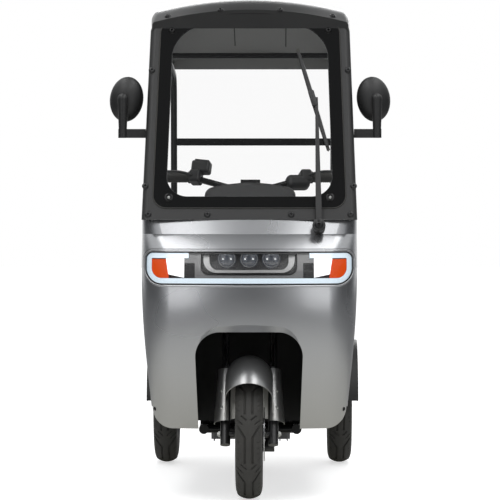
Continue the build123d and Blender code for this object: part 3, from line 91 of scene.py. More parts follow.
class Socket:
    """A shader socket that can stand in sums with numbers and other sockets."""

    def __init__(self, tree, socket):
        self.tree = tree
        self.socket = socket

    def node(self, kind, settings, inputs, output=0):
        """Any other node: its type, its settings, then the values or links of its sockets."""
        made = self.tree.nodes.new(kind)
        for name, value in settings.items():
            setattr(made, name, value)
        for name, value in inputs.items():
            if isinstance(value, Socket):
                self.tree.links.new(value.socket, made.inputs[name])
            else:
                made.inputs[name].default_value = value
        return Socket(self.tree, made.outputs[output])

    def maths(self, operation, *terms):
        return self.node("ShaderNodeMath", {"operation": operation}, dict(enumerate(terms)))

    def larger(self, other):
        return self.maths("MAXIMUM", self, other)

    def __add__(self, other):
        return self.maths("ADD", self, other)

    def __sub__(self, other):
        return self.maths("SUBTRACT", self, other)

    def __rsub__(self, other):
        return self.maths("SUBTRACT", other, self)

    def __mul__(self, other):
        return self.maths("MULTIPLY", self, other)

    def __truediv__(self, other):
        return self.maths("DIVIDE", self, other)

    def __rtruediv__(self, other):
        return self.maths("DIVIDE", other, self)

    def __pow__(self, other):
        return self.maths("POWER", self, other)

    __radd__ = __add__
    __rmul__ = __mul__

    def magnitude(self):
        return self.maths("ABSOLUTE", self)

    def sine(self):
        return self.maths("SINE", self)

    def clamped(self):
        return self.node("ShaderNodeClamp", {}, {0: self})

    def axis(self, index):
        return self.node("ShaderNodeSeparateXYZ", {}, {0: self}, index)

    def distance(self, point):
        return self.node("ShaderNodeVectorMath", {"operation": "DISTANCE"}, {0: self, 1: point}, 1)

    def noise(self, scale, detail=2.0, roughness=0.5):
        return self.node("ShaderNodeTexNoise", {}, {"Vector": self, "Scale": scale, "Detail": detail,
                                                    "Roughness": roughness})

    def cells(self, scale, output=0):
        return self.node("ShaderNodeTexVoronoi", {}, {"Vector": self, "Scale": scale}, output)

    def step(self, low, high):
        """0 below low, 1 above high and smooth between."""
        return self.node("ShaderNodeMapRange", {"interpolation_type": "SMOOTHSTEP"},
                         {0: self, 1: low, 2: high, 3: 0.0, 4: 1.0})

    def blend(self, dark, light):
        """A colour between two, by this value."""
        def shade(colour):
            return colour if isinstance(colour, Socket) else (*colour, 1.0)
        inputs = {0: self, 6: shade(dark), 7: shade(light)}
        return self.node("ShaderNodeMix", {"data_type": "RGBA"}, inputs, 2)

    def bump(self, strength, distance):
        return self.node("ShaderNodeBump", {}, {"Strength": strength, "Distance": distance, "Height": self})


def finish(name, paint):
    """A material whose sockets come from paint(place), place being the point on the piece at rest."""
    material = bpy.data.materials.new(name)
    material.use_nodes = True
    tree = material.node_tree
    shader = tree.nodes["Principled BSDF"]
    place = Socket(tree, tree.nodes.new("ShaderNodeTexCoord").outputs["Object"])
    for socket, value in paint(place).items():
        if isinstance(value, Socket):
            tree.links.new(value.socket, shader.inputs[socket])
        elif isinstance(value, tuple):
            shader.inputs[socket].default_value = (*value, 1.0)
        else:
            shader.inputs[socket].default_value = value
    return material


def silver(place):
    """Silver paint under clear coat: fine flakes, slight unevenness, painted warm floor reflection low down.
    """
    flake = place.cells(2600.0, 1).axis(0)
    haze = place.noise(2.2, 3.0)
    tone = flake * 0.35 + haze * 0.65
    # 1 near the ground: mixes in a painted warm reflection of the floor and a little more roughness
    low_down = 1.0 - place.axis(2).step(0.20, 0.60)
    clean = tone.blend((0.300, 0.305, 0.315), (0.400, 0.405, 0.415))
    return {"Base Color": (low_down * 0.5).blend(clean, (0.30, 0.29, 0.25)), "Metallic": 0.85,
            "Roughness": 0.25 + haze * 0.05 + low_down * 0.08, "Coat Weight": 0.5, "Coat Roughness": 0.08,
            "Normal": place.noise(420.0, 1.0).bump(0.015, 0.0008)}


def grained(low, high, rough, grain=900.0, depth=0.12):
    """Moulded plastic: a fine leathery grain, cloudy sheen and a little dust low down."""
    def paint(place):
        cloud = place.noise(5.0, 3.0)
        low_down = 1.0 - place.axis(2).step(0.15, 0.4)
        pits = place.cells(grain)
        return {"Base Color": (cloud * 0.7 + low_down * 0.3).blend(low, high), "Metallic": 0.0,
                "Roughness": rough + cloud * 0.1, "Normal": pits.bump(depth, 0.0004)}
    return paint


def enamel(low, high, rough, coat=0.0, shine=0.5):
    """Smooth paint or gloss plastic with faint mottling."""
    def paint(place):
        cloud = place.noise(7.0, 2.0)
        return {"Base Color": cloud.blend(low, high), "Roughness": rough + cloud * 0.06, "Coat Weight": coat,
                "Specular IOR Level": shine, "Coat Roughness": 0.05,
                "Normal": place.noise(300.0, 2.0).bump(0.02, 0.0005)}
    return paint


def metal(low, high, rough, brush=0.0):
    """Bare metal; brush cuts fine lines round the front wheel's axis."""
    def paint(place):
        fine = place.noise(60.0, 3.0)
        rings = (place.distance(FRONT_AXLE) * 5200.0).sine() * brush
        return {"Base Color": fine.blend(low, high), "Metallic": 1.0, "Roughness": rough + fine * 0.08,
                "Normal": (rings + fine).bump(0.03 + 0.1 * brush, 0.0003)}
    return paint


def cast(low, high, rough):
    """Cast metal or thick frame paint with a pitted skin."""
    def paint(place):
        pits = place.noise(520.0, 3.0)
        return {"Base Color": place.noise(20.0).blend(low, high), "Metallic": 0.85,
                "Roughness": rough + pits * 0.12, "Normal": pits.bump(0.2, 0.0005)}
    return paint


def sheen(place, straight, edge):
    """How much a thin clear sheet reflects: its share straight on, and what its edge adds."""
    facing = place.node("ShaderNodeLayerWeight", {}, {"Blend": 0.5}, 1)
    return (straight + edge * facing ** 5.0).clamped()


def clear(straight, edge, rough):
    """Thin clear sheet: it reflects more towards its edge and lets the rest through."""
    def paint(place):
        return {"Base Color": (1.0, 1.0, 1.0), "Metallic": 1.0, "Roughness": rough,
                "Alpha": sheen(place, straight, edge)}
    return paint


# The clear part of the screen in its plane: half its width at the foot and how that shrinks with height, its
# foot, its top in the middle and how that drops to the sides, and its lower and upper corners
WINDOW_HALF, WINDOW_TAPER = 0.281, 0.0259
WINDOW_LOW, WINDOW_TOP, WINDOW_RISE = 0.085, 0.726, 0.024
WINDOW_CORNERS = (0.072, 0.104)


def screen_pane(place):
    """The windscreen: clear in the middle, with the black printed border round the window."""
    up = ((place.axis(1) - SCREEN_FOOT.y) * sin(SCREEN_LEAN)
          + (place.axis(2) - SCREEN_FOOT.z) * cos(SCREEN_LEAN))
    x = place.axis(0).magnitude()
    half = WINDOW_HALF - up * WINDOW_TAPER
    top = WINDOW_TOP - (x / half) ** 2.0 * WINDOW_RISE
    reach = []
    for corner, past in zip(WINDOW_CORNERS, (WINDOW_LOW - up, up - top)):
        u = (x - half + corner).larger(0.0)
        v = (past + corner).larger(0.0)
        reach.append((u * u + v * v) ** 0.5 - corner)
    border = reach[0].larger(reach[1]).step(0.0, MM)
    return {"Base Color": border.blend((1.0, 1.0, 1.0), (0.006, 0.006, 0.006)), "Metallic": 1.0 - border,
            "Roughness": 0.04, "Alpha": border.larger(sheen(place, 0.03, 0.85))}


def glowing(colour, glow, strength, rib=0.0, coat=0.8):
    """Frosted or ribbed lamp plastic that seems lit from behind."""
    def paint(place):
        ridge = (place.axis(0) * 1600.0).sine() * rib
        mottle = place.noise(90.0, 2.0)
        body, light = [mottle.blend(tuple(c * 0.9 for c in shade), shade) for shade in (colour, glow)]
        return {"Base Color": body, "Roughness": 0.16, "Specular IOR Level": coat * 0.6, "Coat Weight": coat,
                "Emission Color": light, "Emission Strength": strength,
                "Normal": (ridge + mottle * 0.2).bump(0.25, 0.0006)}
    return paint


def roof_shell(place):
    """The roof's gloss top, and its lighter, duller lining underneath and inside the rear edge."""
    normal = place.node("ShaderNodeNewGeometry", {}, {}, 1)
    rear = place.axis(1).step(0.1, 0.2)
    down, forward = [(0.0 - normal.axis(k)).step(0.3, 0.8) for k in (2, 1)]
    under = (down + rear * forward).clamped()
    cloud = place.noise(7.0, 2.0)
    top = cloud.blend((0.012, 0.012, 0.012), (0.024, 0.024, 0.023))
    return {"Base Color": under.blend(top, (0.25, 0.25, 0.24)), "Roughness": 0.36 + under * 0.3,
            "Coat Weight": 0.2, "Coat Roughness": 0.05, "Normal": place.noise(300.0, 2.0).bump(0.02, 0.0005)}


def rubber(place):
    cloud = place.noise(14.0, 4.0)
    fine = place.noise(1400.0, 2.0)
    return {"Base Color": cloud.blend((0.020, 0.0195, 0.018), (0.044, 0.042, 0.037)),
            "Roughness": 0.62 + cloud * 0.2, "Normal": fine.bump(0.12, 0.0003)}


def vinyl(place):
    """Seat cover: pebbled grain with fine creases and a soft sheen."""
    pebble = place.cells(420.0)
    crease = place.noise(60.0, 4.0, 0.65)
    cloud = place.noise(6.0)
    return {"Base Color": cloud.blend((0.016, 0.016, 0.017), (0.034, 0.033, 0.034)),
            "Roughness": 0.42 + cloud * 0.12, "Normal": (pebble * 0.7 + crease * 0.5).bump(0.3, 0.0006)}


def lens_dark(place):
    """A projector's lens: dark glass with faint rings."""
    rings = (place.axis(2) * 900.0).sine()
    return {"Base Color": (rings * 0.5 + 0.5).blend((0.035, 0.042, 0.055), (0.07, 0.08, 0.10)),
            "Roughness": 0.06, "Coat Weight": 1.0, "Coat Roughness": 0.02}


def grey(tone):
    return tone, tone, tone


BLACK = grey(0.008)
SOOT = (0.020, 0.020, 0.021)
FINISHES = {
    "silver_paint": silver,
    "black_plastic": grained(grey(0.010), grey(0.022), 0.42),
    "frame_paint": enamel(grey(0.005), grey(0.012), 0.20, 0.05, 0.2),
    "dark_aluminium": cast((0.10, 0.10, 0.105), (0.16, 0.16, 0.165), 0.42),
    "liner_plastic": grained(grey(0.003), grey(0.008), 0.70),
    "lamp_black": enamel((0.004, 0.004, 0.005), (0.010, 0.010, 0.011), 0.32, 0.05, 0.25),
    "bezel_grey": enamel(grey(0.10), grey(0.155), 0.34, 0.3),
    "clear_lens": clear(0.012, 0.22, 0.25),
    "projector_glass": lens_dark,
    "white_guide": glowing((0.55, 0.62, 0.66), (0.60, 0.72, 0.82), 0.56),
    "amber_lens": glowing((0.42, 0.038, 0.001), (0.76, 0.076, 0.001), 0.46, 0.7, 0.1),
    "white_reflector": glowing((0.92, 0.93, 0.94), grey(1.0), 0.8, 0.3),
    "bright_trim": metal(grey(0.25), grey(0.32), 0.34),
    "screen_glass": screen_pane,
    "wiper_black": enamel(BLACK, SOOT, 0.4),
    "wiper_rubber": rubber,
    "roof_black": roof_shell,
    "mirror_face": metal((0.78, 0.80, 0.82), (0.84, 0.86, 0.88), 0.02),
    "axle_paint": cast((0.014, 0.014, 0.015), (0.035, 0.035, 0.036), 0.5),
    "spring_steel": enamel((0.02, 0.02, 0.021), (0.05, 0.05, 0.052), 0.3, 0.3),
    "battery_case": grained((0.022, 0.022, 0.024), (0.045, 0.045, 0.048), 0.5),
    "zinc_steel": metal((0.42, 0.43, 0.42), (0.56, 0.56, 0.54), 0.3),
    "seat_cover": vinyl,
    "red_lens": glowing((0.42, 0.012, 0.012), (0.5, 0.02, 0.02), 0.12, 0.5),
    "white_plate": enamel((0.62, 0.62, 0.60), (0.72, 0.72, 0.70), 0.35),
    "fork_silver": enamel(BLACK, SOOT, 0.3, 0.3),
    "chrome_tube": metal((0.80, 0.80, 0.82), (0.88, 0.88, 0.90), 0.06),
    "grip_rubber": rubber,
    "caliper_metal": cast((0.03, 0.03, 0.031), (0.07, 0.07, 0.072), 0.45),
    "tyre_rubber": rubber,
    "rim_alloy": enamel(grey(0.012), (0.028, 0.028, 0.029), 0.28, 0.4),
    "disc_steel": metal((0.45, 0.45, 0.46), (0.60, 0.60, 0.61), 0.22, 1.0),
}
materials = {}


def wear(made, material):
    made.data.materials.clear()
    made.data.materials.append(material)


def coat(made, slot):
    """Gives a piece the finish of a slot, made once."""
    if slot not in materials:
        materials[slot] = finish(slot, FINISHES[slot])
    wear(made, materials[slot])


def coat_frame():
    for entry in frame["record"]["subparts"]:
        coat(nodes[entry["node"]], entry["material_slot"])


# Meshes


def placed(name, data):
    made = bpy.data.objects.new(name, data)
    bpy.context.scene.collection.objects.link(made)
    return made


def piece(name, verts, faces, body, slot, smooth=True):
    """A new mesh that rides on a body and takes a slot's finish."""
    mesh = bpy.data.meshes.new(name)
    mesh.from_pydata([tuple(v) for v in verts], [], faces)
    mesh.polygons.foreach_set("use_smooth", [smooth] * len(mesh.polygons))
    mesh.update()
    made = placed(name, mesh)
    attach(made, body)
    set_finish(made, slot)
    coat(made, slot)
    return made


def grid_faces(rows, cols, wrap_rows=False, wrap_cols=False):
    """Quads over a grid of points numbered row by row."""
    made = []
    for i in range(rows if wrap_rows else rows - 1):
        for j in range(cols if wrap_cols else cols - 1):
            a, b = i * cols + j, i * cols + (j + 1) % cols
            c, d = ((i + 1) % rows) * cols + (j + 1) % cols, ((i + 1) % rows) * cols + j
            made.append((a, b, c, d))
    return made


def frame_at(origin, normal, across=(1.0, 0.0, 0.0)):
    """A matrix whose Z is the normal and whose X is as near across as it can be."""
    z = Vector(normal).normalized()
    y = z.cross(Vector(across)).normalized()
    x = y.cross(z)
    return Matrix.Translation(origin) @ Matrix((x, y, z)).transposed().to_4x4()


def moved(place, across, up, out):
    """A place shifted along its own axes, in millimetres."""
    return place @ Matrix.Translation((across * MM, up * MM, out * MM))


def around(reach, angle, height):
    return Vector((reach * cos(angle), reach * sin(angle), height))


def turned(profile, steps, place):
    """A profile of radii and heights in millimetres turned about a place's Z, closed at both ends."""
    verts = []
    for k in range(steps):
        angle = 2 * pi * k / steps
        verts += [place @ around(r * MM, angle, h * MM) for r, h in profile]
    faces = grid_faces(steps, len(profile), wrap_rows=True)
    last = len(profile) - 1
    faces.append([k * len(profile) for k in range(steps)][::-1])
    faces.append([k * len(profile) + last for k in range(steps)])
    return verts, faces


# A screw's head in shares of its radius: its washer and dome, and its socket's width and two heights
SCREW_RIM = [(1.22, 0.0), (1.22, 0.10), (1.0, 0.13), (0.98, 0.30), (0.80, 0.50), (0.60, 0.58)]
SCREW_SOCKET, SOCKET_HEIGHTS = 0.45, (0.60, 0.25)


def screw_mesh(place, radius):
    """A domed screw head with a six-sided socket, on a thin washer."""
    steps = 18
    verts = []
    for k in range(steps):
        angle = 2 * pi * k / steps
        six = cos(pi / 6) / cos((angle + pi / 6) % (pi / 3) - pi / 6)
        verts += [place @ around(r * radius, angle, h * radius) for r, h in SCREW_RIM]
        verts += [place @ around(SCREW_SOCKET * radius * six, angle, h * radius) for h in SOCKET_HEIGHTS]
    cols = len(SCREW_RIM) + len(SOCKET_HEIGHTS)
    faces = grid_faces(steps, cols, wrap_rows=True)
    faces.append([k * cols + cols - 1 for k in range(steps)])
    faces.append([k * cols for k in range(steps)][::-1])
    return verts, faces


def joined(parts):
    """One list of points and faces from several."""
    verts, faces = [], []
    for more_verts, more_faces in parts:
        start = len(verts)
        verts += more_verts
        faces += [tuple(start + v for v in face) for face in more_faces]
    return verts, faces


def screen_point(x, up, out=0.0):
    """A point on the windscreen's plane: across, up the slope from its foot, and out along its normal."""
    s, c = sin(SCREEN_LEAN), cos(SCREEN_LEAN)
    return SCREEN_FOOT + Vector((x, up * s - out * c, up * c + out * s))


def screen_place(x, up, out=0.0):
    return frame_at(screen_point(x, up, out), SCREEN_OUT)


def surface_place(node, x, z, from_y=-2.0, sink=0.0):
    """Where a ray from the front meets a CAD node at x and z, with the surface's normal."""
    hit, point, normal, _ = nodes[node].ray_cast(Vector((x, from_y, z)), Vector((0.0, 1.0, 0.0)))
    if not hit:
        raise ValueError(f"{node} isn't met at x {x} and z {z}")
    return frame_at(point - normal * sink, normal)


def tube_mesh(points, radius, sides=10, closed=False):
    """A round tube along points, its rings turned as little as possible from one to the next."""
    count = len(points)
    verts = []
    normal = None
    for k, point in enumerate(points):
        after = points[(k + 1) % count] if closed or k < count - 1 else point
        before = points[k - 1] if closed or k > 0 else point
        way = (after - before).normalized()
        if normal is None:
            normal = way.orthogonal().normalized()
        normal = (normal - way * normal.dot(way)).normalized()
        side = way.cross(normal)
        for j in range(sides):
            angle = 2 * pi * j / sides
            verts.append(point + (normal * cos(angle) + side * sin(angle)) * radius)
    faces = grid_faces(count, sides, wrap_rows=closed, wrap_cols=True)
    if not closed:
        faces.append(tuple(range(sides)))
        faces.append(tuple((count - 1) * sides + j for j in range(sides))[::-1])
    return verts, faces


def edge_loop(node, facing, least=0.9):
    """The longest loop of edges round the faces of a CAD node that face a direction."""
    mesh = nodes[node].data
    uses = Counter(key for polygon in mesh.polygons if polygon.normal.dot(facing) > least
                   for key in polygon.edge_keys)
    places, links = {}, {}
    for key in (key for key, count in uses.items() if count == 1):
        ends = [tuple(round(c, 5) for c in mesh.vertices[v].co) for v in key]
        for v, here, there in zip(key, ends, ends[::-1]):
            places[here] = mesh.vertices[v].co.copy()
            links.setdefault(here, set()).add(there)
    loops = []
    left = set(links)
    while left:
        loop = [left.pop()]
        while onward := [spot for spot in links[loop[-1]] if spot in left]:
            left.discard(onward[0])
            loop.append(onward[0])
        loops.append([places[spot] for spot in loop])
    return max(loops, key=lambda found: sum((p - q).length for p, q in zip(found, found[1:])))


def bar_place(x, back, up):
    """A point given across, back and up in the steering's leaning frame, up from the front axle."""
    s, c = sin(RAKE), cos(RAKE)
    back += FORK_OFFSET
    return FRONT_AXLE + Vector((x, back * c + up * s, up * c - back * s))


# Tyres


# One pitch of the tread, mirrored about the middle: each cut's start and end across and along the tyre in
# millimetres, its half width and its share of the depth
TREAD_PITCHES = 8
TREAD_DEPTH = 6.0 * MM
TREAD_SHIFT = 48.0 * MM
TREAD_CUTS = [
    ((38.0, 0.0), (13.0, 42.0), 2.7, 1.0),
    ((13.0, 42.0), (13.0, 130.0), 3.1, 1.0),
    ((24.0, 138.0), (9.0, 152.0), 2.2, 0.8),
    ((38.0, 150.0), (22.0, 166.0), 2.2, 0.8),
] + [((30.0, s), (38.0, s - 5.0), 1.0, 0.5) for s in (60.0, 80.0, 100.0, 120.0)]
TREAD_SOFT = 0.9 * MM
# The fine rings on the side: between which radii, how deep and how close
SIDE_RING = (0.160, 0.196)
RING_DEPTH, RING_RATE = 0.35 * MM, 2600
TYRE_STEPS = 1080


def tread_cut(across, along, pitch):
    """How deep the tread is cut, as a share, over arrays of places across and along the tyre."""
    cut = np.zeros(np.broadcast(across, along).shape)
    reach = np.abs(across)
    for start, end, half, share in TREAD_CUTS:
        a, b = np.array(start) * MM, np.array(end) * MM
        run = b - a
        wrapped = (along - (a[1] + b[1]) / 2 + pitch / 2) % pitch - pitch / 2 + (a[1] + b[1]) / 2
        t = np.clip(((reach - a[0]) * run[0] + (wrapped - a[1]) * run[1]) / run.dot(run), 0.0, 1.0)
        gap = np.hypot(reach - a[0] - t * run[0], wrapped - a[1] - t * run[1])
        cut = np.maximum(cut, share * np.clip((half * MM - gap) / TREAD_SOFT + 0.5, 0.0, 1.0))
    return cut


def tyre_line():
    """Half the tyre's section from the crown to the bead, as places across and radii, like its solid's."""
    shoulder = (37 * MM, WHEEL_RADIUS - 13 * MM)
    bulge = (45 * MM, WHEEL_RADIUS - 42 * MM)
    lip = (40 * MM, 134.3 * MM)
    bead = 32.7 * MM
    seat = 127.3 * MM
    drop = WHEEL_RADIUS - shoulder[1]
    bow = (shoulder[0] ** 2 + drop ** 2) / (2 * drop)
    tread = [(x, WHEEL_RADIUS - bow + sqrt(bow ** 2 - x ** 2)) for x in np.linspace(0, shoulder[0], 23)]
    side = []
    for t in np.linspace(0, 1, 11)[1:]:
        weights = (2 * (t - 0.5) * (t - 1), 4 * t * (1 - t), 2 * t * (t - 0.5))
        side.append(tuple(sum(w * p[i] for w, p in zip(weights, (shoulder, bulge, lip))) for i in (0, 1)))
    return tread + side + [(bead, lip[1]), (bead, seat)], len(tread)


def tyre(name, node, body):
    """A tyre with cut tread and ringed sides that stands for its plain solid."""
    half, tread_count = tyre_line()
    line = np.array([(-x, r) for x, r in reversed(half[1:])] + half)
    steps = TYRE_STEPS
    girth = 2 * pi * WHEEL_RADIUS
    pitch = girth / TREAD_PITCHES
    along = TREAD_SHIFT - girth * np.arange(steps)[:, None] / steps
    cut = tread_cut(line[None, :, 0], along, pitch) * TREAD_DEPTH
    outer = np.abs(np.arange(len(line)) - (len(half) - 1)) < tread_count
    radius = line[None, :, 1] - np.where(outer[None, :], cut, 0.0)
    ringed = (line[:, 1] > SIDE_RING[0]) & (line[:, 1] < SIDE_RING[1])
    radius = radius - np.where(ringed, RING_DEPTH * (1 + np.sin(line[:, 1] * RING_RATE)), 0.0)[None, :]
    angle = (2 * pi * np.arange(steps) / steps)[:, None]
    centre = middle(node)
    points = np.stack([np.broadcast_to(line[None, :, 0], radius.shape) + centre.x,
                       radius * np.sin(angle) + centre.y, radius * np.cos(angle) + centre.z], axis=-1)
    made = piece(name, points.reshape(-1, 3), grid_faces(steps, len(line), wrap_rows=True, wrap_cols=True),
                 body, "tyre_rubber")
    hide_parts(node)


def tyres():
    tyre("front_tyre_tread", "front_tyre", "front_wheel")
    for label in ("left", "right"):
        tyre(f"rear_tyre_{label}_tread", f"rear_tyre_{label}", f"rear_{label}_wheel")


# A nut on its washer and the axle's end in it: shares of the nut's radius and heights in millimetres
NUT = [(1.35, 0.0), (1.35, 0.8), (1.12, 1.2), (1.12, 6), (0.62, 6.4), (0.6, 9.5), (0.5, 10)]
DISC_BOLTS, BOLT_CIRCLE = 5, 22 * MM
HUB_REACH = 40 * MM


def nut(centre, side, radius):
    return turned([(radius * r, h) for r, h in NUT], 6, frame_at(centre, (side, 0, 0), (0, 1, 0)))


def wheel_fittings():
    """Nuts on the axles' ends, and the bolts that hold the brake disc to its hub."""
    fork_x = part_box("fork_sliders")[1].x
    ends = [nut(Vector((side * fork_x, FRONT_AXLE.y, FRONT_AXLE.z)), side, 9.5) for side in (-1, 1)]
    piece("front_axle_nuts", *joined(ends), "steering", "zinc_steel", smooth=False)
    disc_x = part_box("brake_disc")[1].x
    bolts = []
    for k in range(DISC_BOLTS):
        angle = 2 * pi * k / DISC_BOLTS
        spot = Vector((disc_x, FRONT_AXLE.y + BOLT_CIRCLE * sin(angle),
                       FRONT_AXLE.z + BOLT_CIRCLE * cos(angle)))
        bolts.append(screw_mesh(frame_at(spot, (1, 0, 0), (0, 1, 0)), 4.5 * MM))
    piece("disc_bolts", *joined(bolts), "front_wheel", "zinc_steel")
    for side, label in ((1, "left"), (-1, "right")):
        spot = Vector((side * (REAR_WHEEL_X + HUB_REACH), REAR_AXLE.y, REAR_AXLE.z))
        piece(f"hub_nut_{label}", *nut(spot, side, 10), f"rear_{label}_wheel", "zinc_steel", smooth=False)


# Screws, seals and small fittings


# Where screws sit: on the screen and its frame across and up the slope, elsewhere across and up
SCREEN_SCREW, SCREEN_FOOT_SCREW = (0.268, 0.697), (0.270, 0.080)
FRAME_SCREWS = [(0.334, 0.548), (0.349, 0.122), (0.338, 0.019), (0.140, 0.019)]
ROOF_SCREWS = [(-0.283, 1.627), (-0.102, 1.647), (0.102, 1.647), (0.283, 1.627)]
FAIRING_STUD = (0.316, 0.298)
GUARD_BOLTS = [(0.093, 0.357), (0.093, 0.304)]


def both_sides(spots):
    return [(side * x, z) for side in (-1, 1) for x, z in spots]


def washer_screw(place, radius):
    """A wide dark washer with a small screw in its middle."""
    return turned([(radius, 0.0), (radius, 1.0), (radius * 0.9, 2.2), (radius * 0.45, 3.0),
                   (radius * 0.40, 2.2)], 36, place)


def screws():
    """Button screws on the screen, its frame, the roof and the fairing, and bright ones on the leg guards."""
    screen = [screw_mesh(screen_place(x, up, 0.3 * MM), 9.8 * MM) for x, up in both_sides([SCREEN_SCREW])]
    feet = [screen_place(x, up, 0.3 * MM) for x, up in both_sides([SCREEN_FOOT_SCREW])]
    screen += [washer_screw(place, 15.5) for place in feet]
    piece("screen_screws", *joined(screen), "body", "frame_paint")
    bright = [screw_mesh(moved(place, 0.0, 0.0, 2.0), 4.6 * MM) for place in feet]
    piece("screen_screw_heads", *joined(bright), "body", "zinc_steel")
    bolts = [screw_mesh(screen_place(x, up), 9.2 * MM) for x, up in both_sides(FRAME_SCREWS)]
    piece("frame_screws", *joined(bolts), "body", "wiper_black")
    for name, node, spots, radius, body, slot in (
            ("roof_screws", "roof", ROOF_SCREWS, 9.4 * MM, "body", "frame_paint"),
            ("fairing_studs", "front_fairing", both_sides([FAIRING_STUD]), 6.0 * MM, "body", "frame_paint"),
            ("guard_bolts", "front_mudguard", both_sides(GUARD_BOLTS), 4.2 * MM, "steering", "zinc_steel")):
        heads = [screw_mesh(surface_place(node, x, z), radius) for x, z in spots]
        piece(name, *joined(heads), body, slot)


def front_outline(node, step=6 * MM):
    """Evenly spaced points round a node's outline as seen from the front, each with its outward way."""
    spots = sorted({(round(v.co.x, 5), round(v.co.z, 5)) for v in nodes[node].data.vertices})
    hull = []
    for run in (spots, spots[::-1]):
        chain = []
        for x, z in run:
            while len(chain) > 1 and ((chain[-1][0] - chain[-2][0]) * (z - chain[-2][1])
                                      <= (chain[-1][1] - chain[-2][1]) * (x - chain[-2][0])):
                chain.pop()
            chain.append((x, z))
        hull += chain[:-1]
    even = []
    for (x0, z0), (x1, z1) in zip(hull, hull[1:] + hull[:1]):
        count = max(1, round(hypot(x1 - x0, z1 - z0) / step))
        even += [(x0 + (x1 - x0) * k / count, z0 + (z1 - z0) * k / count) for k in range(count)]
    found = []
    for k, (x, z) in enumerate(even):
        (x0, z0), (x1, z1) = even[k - 3], even[(k + 3) % len(even)]
        reach = hypot(x1 - x0, z1 - z0)
        found.append((x, z, (z1 - z0) / reach, (x0 - x1) / reach))
    return found


# Beads on the fairing round the lamp: name, how far out from the cover's outline, radius, how deep the
# middle sits, finish, and whether it runs over the top only
LAMP_BEADS = [
    ("lamp_lip_bead", 6.2 * MM, 4.4 * MM, 2.8 * MM, "silver_paint", False),
    ("lamp_lip_groove", 1.8 * MM, 1.5 * MM, 0.9 * MM, "liner_plastic", False),
    ("lamp_lip_outer_groove", 11.0 * MM, 1.4 * MM, 0.9 * MM, "liner_plastic", True),
]


def lamp_lip():
    """The fairing's raised lip round the lamp opening, between a thin dark groove and an outer one on top."""
    outline = front_outline("lamp_cover")
    middle_z = (min(p[1] for p in outline) + max(p[1] for p in outline)) / 2
    over = sorted((p for p in outline if p[1] > middle_z), key=lambda p: p[0])
    for name, out, radius, sink, slot, above in LAMP_BEADS:
        points = [surface_place("front_fairing", x + u * out, z + w * out, sink=sink).translation
                  for x, z, u, w in (over if above else outline)]
        piece(name, *tube_mesh(points, radius, closed=not above), "body", slot)


# The projectors' lenses: their radius, pitch and height, and how far from the middle the painted glints are
LENS_RADIUS, LENS_PITCH, LENS_Z = 27.0 * MM, 73.5 * MM, 801 * MM
LENS_GLINT_X = 13.9 * MM


def lens_details():
    """A bright ring round each projector lens, open where the bezel cuts it, and two glowing painted glints.
    """
    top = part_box("projectors")[1].z - 1.5 * MM
    reach = asin((top - LENS_Z) / LENS_RADIUS)
    angles = [pi - reach + (pi + 2 * reach) * k / 40 for k in range(41)]
    rings, glints = [], []
    for place in (-1, 0, 1):
        x0 = place * LENS_PITCH
        ring = [surface_place("projectors", x0 + LENS_RADIUS * cos(a),
                              LENS_Z + LENS_RADIUS * sin(a)).translation for a in angles]
        rings.append(tube_mesh(ring, 1.1 * MM, 8))
        for side in (-1, 1):
            # Each glint is painted: a small glowing white dot on the lens
            spot = surface_place("projectors", x0 + side * LENS_GLINT_X, LENS_Z, sink=0.4 * MM)
            glints.append(turned([(3.0, 0.0), (2.6, 0.8), (1.2, 1.3)], 20, spot))
    piece("lens_rings", *joined(rings), "body", "bright_trim")
    piece("lens_glints", *joined(glints), "body", "white_reflector")


CORNERS = ((1, 1), (-1, 1), (-1, -1), (1, -1))
CORNER_STEPS = 8


def rounded(half_u, half_v, corner, inset=0.0):
    """Points round a rectangle with round corners, drawn in by an inset."""
    points = []
    for quarter, (sign_u, sign_v) in enumerate(CORNERS):
        for k in range(CORNER_STEPS + 1):
            angle = pi / 2 * (quarter + k / CORNER_STEPS)
            points.append((sign_u * (half_u - corner) + (corner - inset) * cos(angle),
                           sign_v * (half_v - corner) + (corner - inset) * sin(angle)))
    return points


def slab(place, half_u, half_v, corner, thick, soft):
    """A round-cornered plate with softened edges, standing on a place; all sizes in millimetres."""
    rows = [(0.0, 0.0), (0.0, thick - soft), (soft * 0.3, thick - soft * 0.3), (soft, thick)]
    verts = [place @ Vector((u * MM, v * MM, height * MM)) for inset, height in rows
             for u, v in rounded(half_u, half_v, corner, inset)]
    count = len(verts) // len(rows)
    faces = grid_faces(len(rows), count, wrap_cols=True)
    faces.append(tuple(range(count))[::-1])
    faces.append(tuple(range(count * (len(rows) - 1), count * len(rows))))
    return verts, faces


# The wiper's pivot, across and up the screen, and the cap's profile
WIPER_PIVOT = (232 * MM, -28 * MM)
WIPER_CAP = [(15, -0.5), (15, 3), (12.5, 5.5), (8, 7), (3, 7.6)]


def wiper_cap():
    """The domed cap over the wiper's pivot nut."""
    hit = nodes["wiper_arm"].ray_cast(screen_point(*WIPER_PIVOT, 0.2), -SCREEN_OUT)
    piece("wiper_cap", *turned(WIPER_CAP, 32, frame_at(hit[1], SCREEN_OUT)), "wiper", "lamp_black")


# The wiper blade's ends across and up the screen, all in millimetres; its carrier's half width and what that
# gains in the middle; and the carrier's section in shares of the half width and heights over the screen
BLADE_FOOT, BLADE_TOP = (265.5, 247.0), (162.0, 623.0)
CARRIER_HALF, CARRIER_SWELL = 5.9, 2.6
CARRIER_SECTION = ((-1, 9.0), (-0.6, 16.6), (0.6, 16.6), (1, 9.0))
CLIP_HEIGHT = 16.4


def on_blade(share, aside=0.0, out=0.0):
    """A point over the screen at a share of the blade's length."""
    x, up = [a + (b - a) * share for a, b in zip(BLADE_FOOT, BLADE_TOP)]
    return screen_point((x + aside) * MM, up * MM, out * MM)


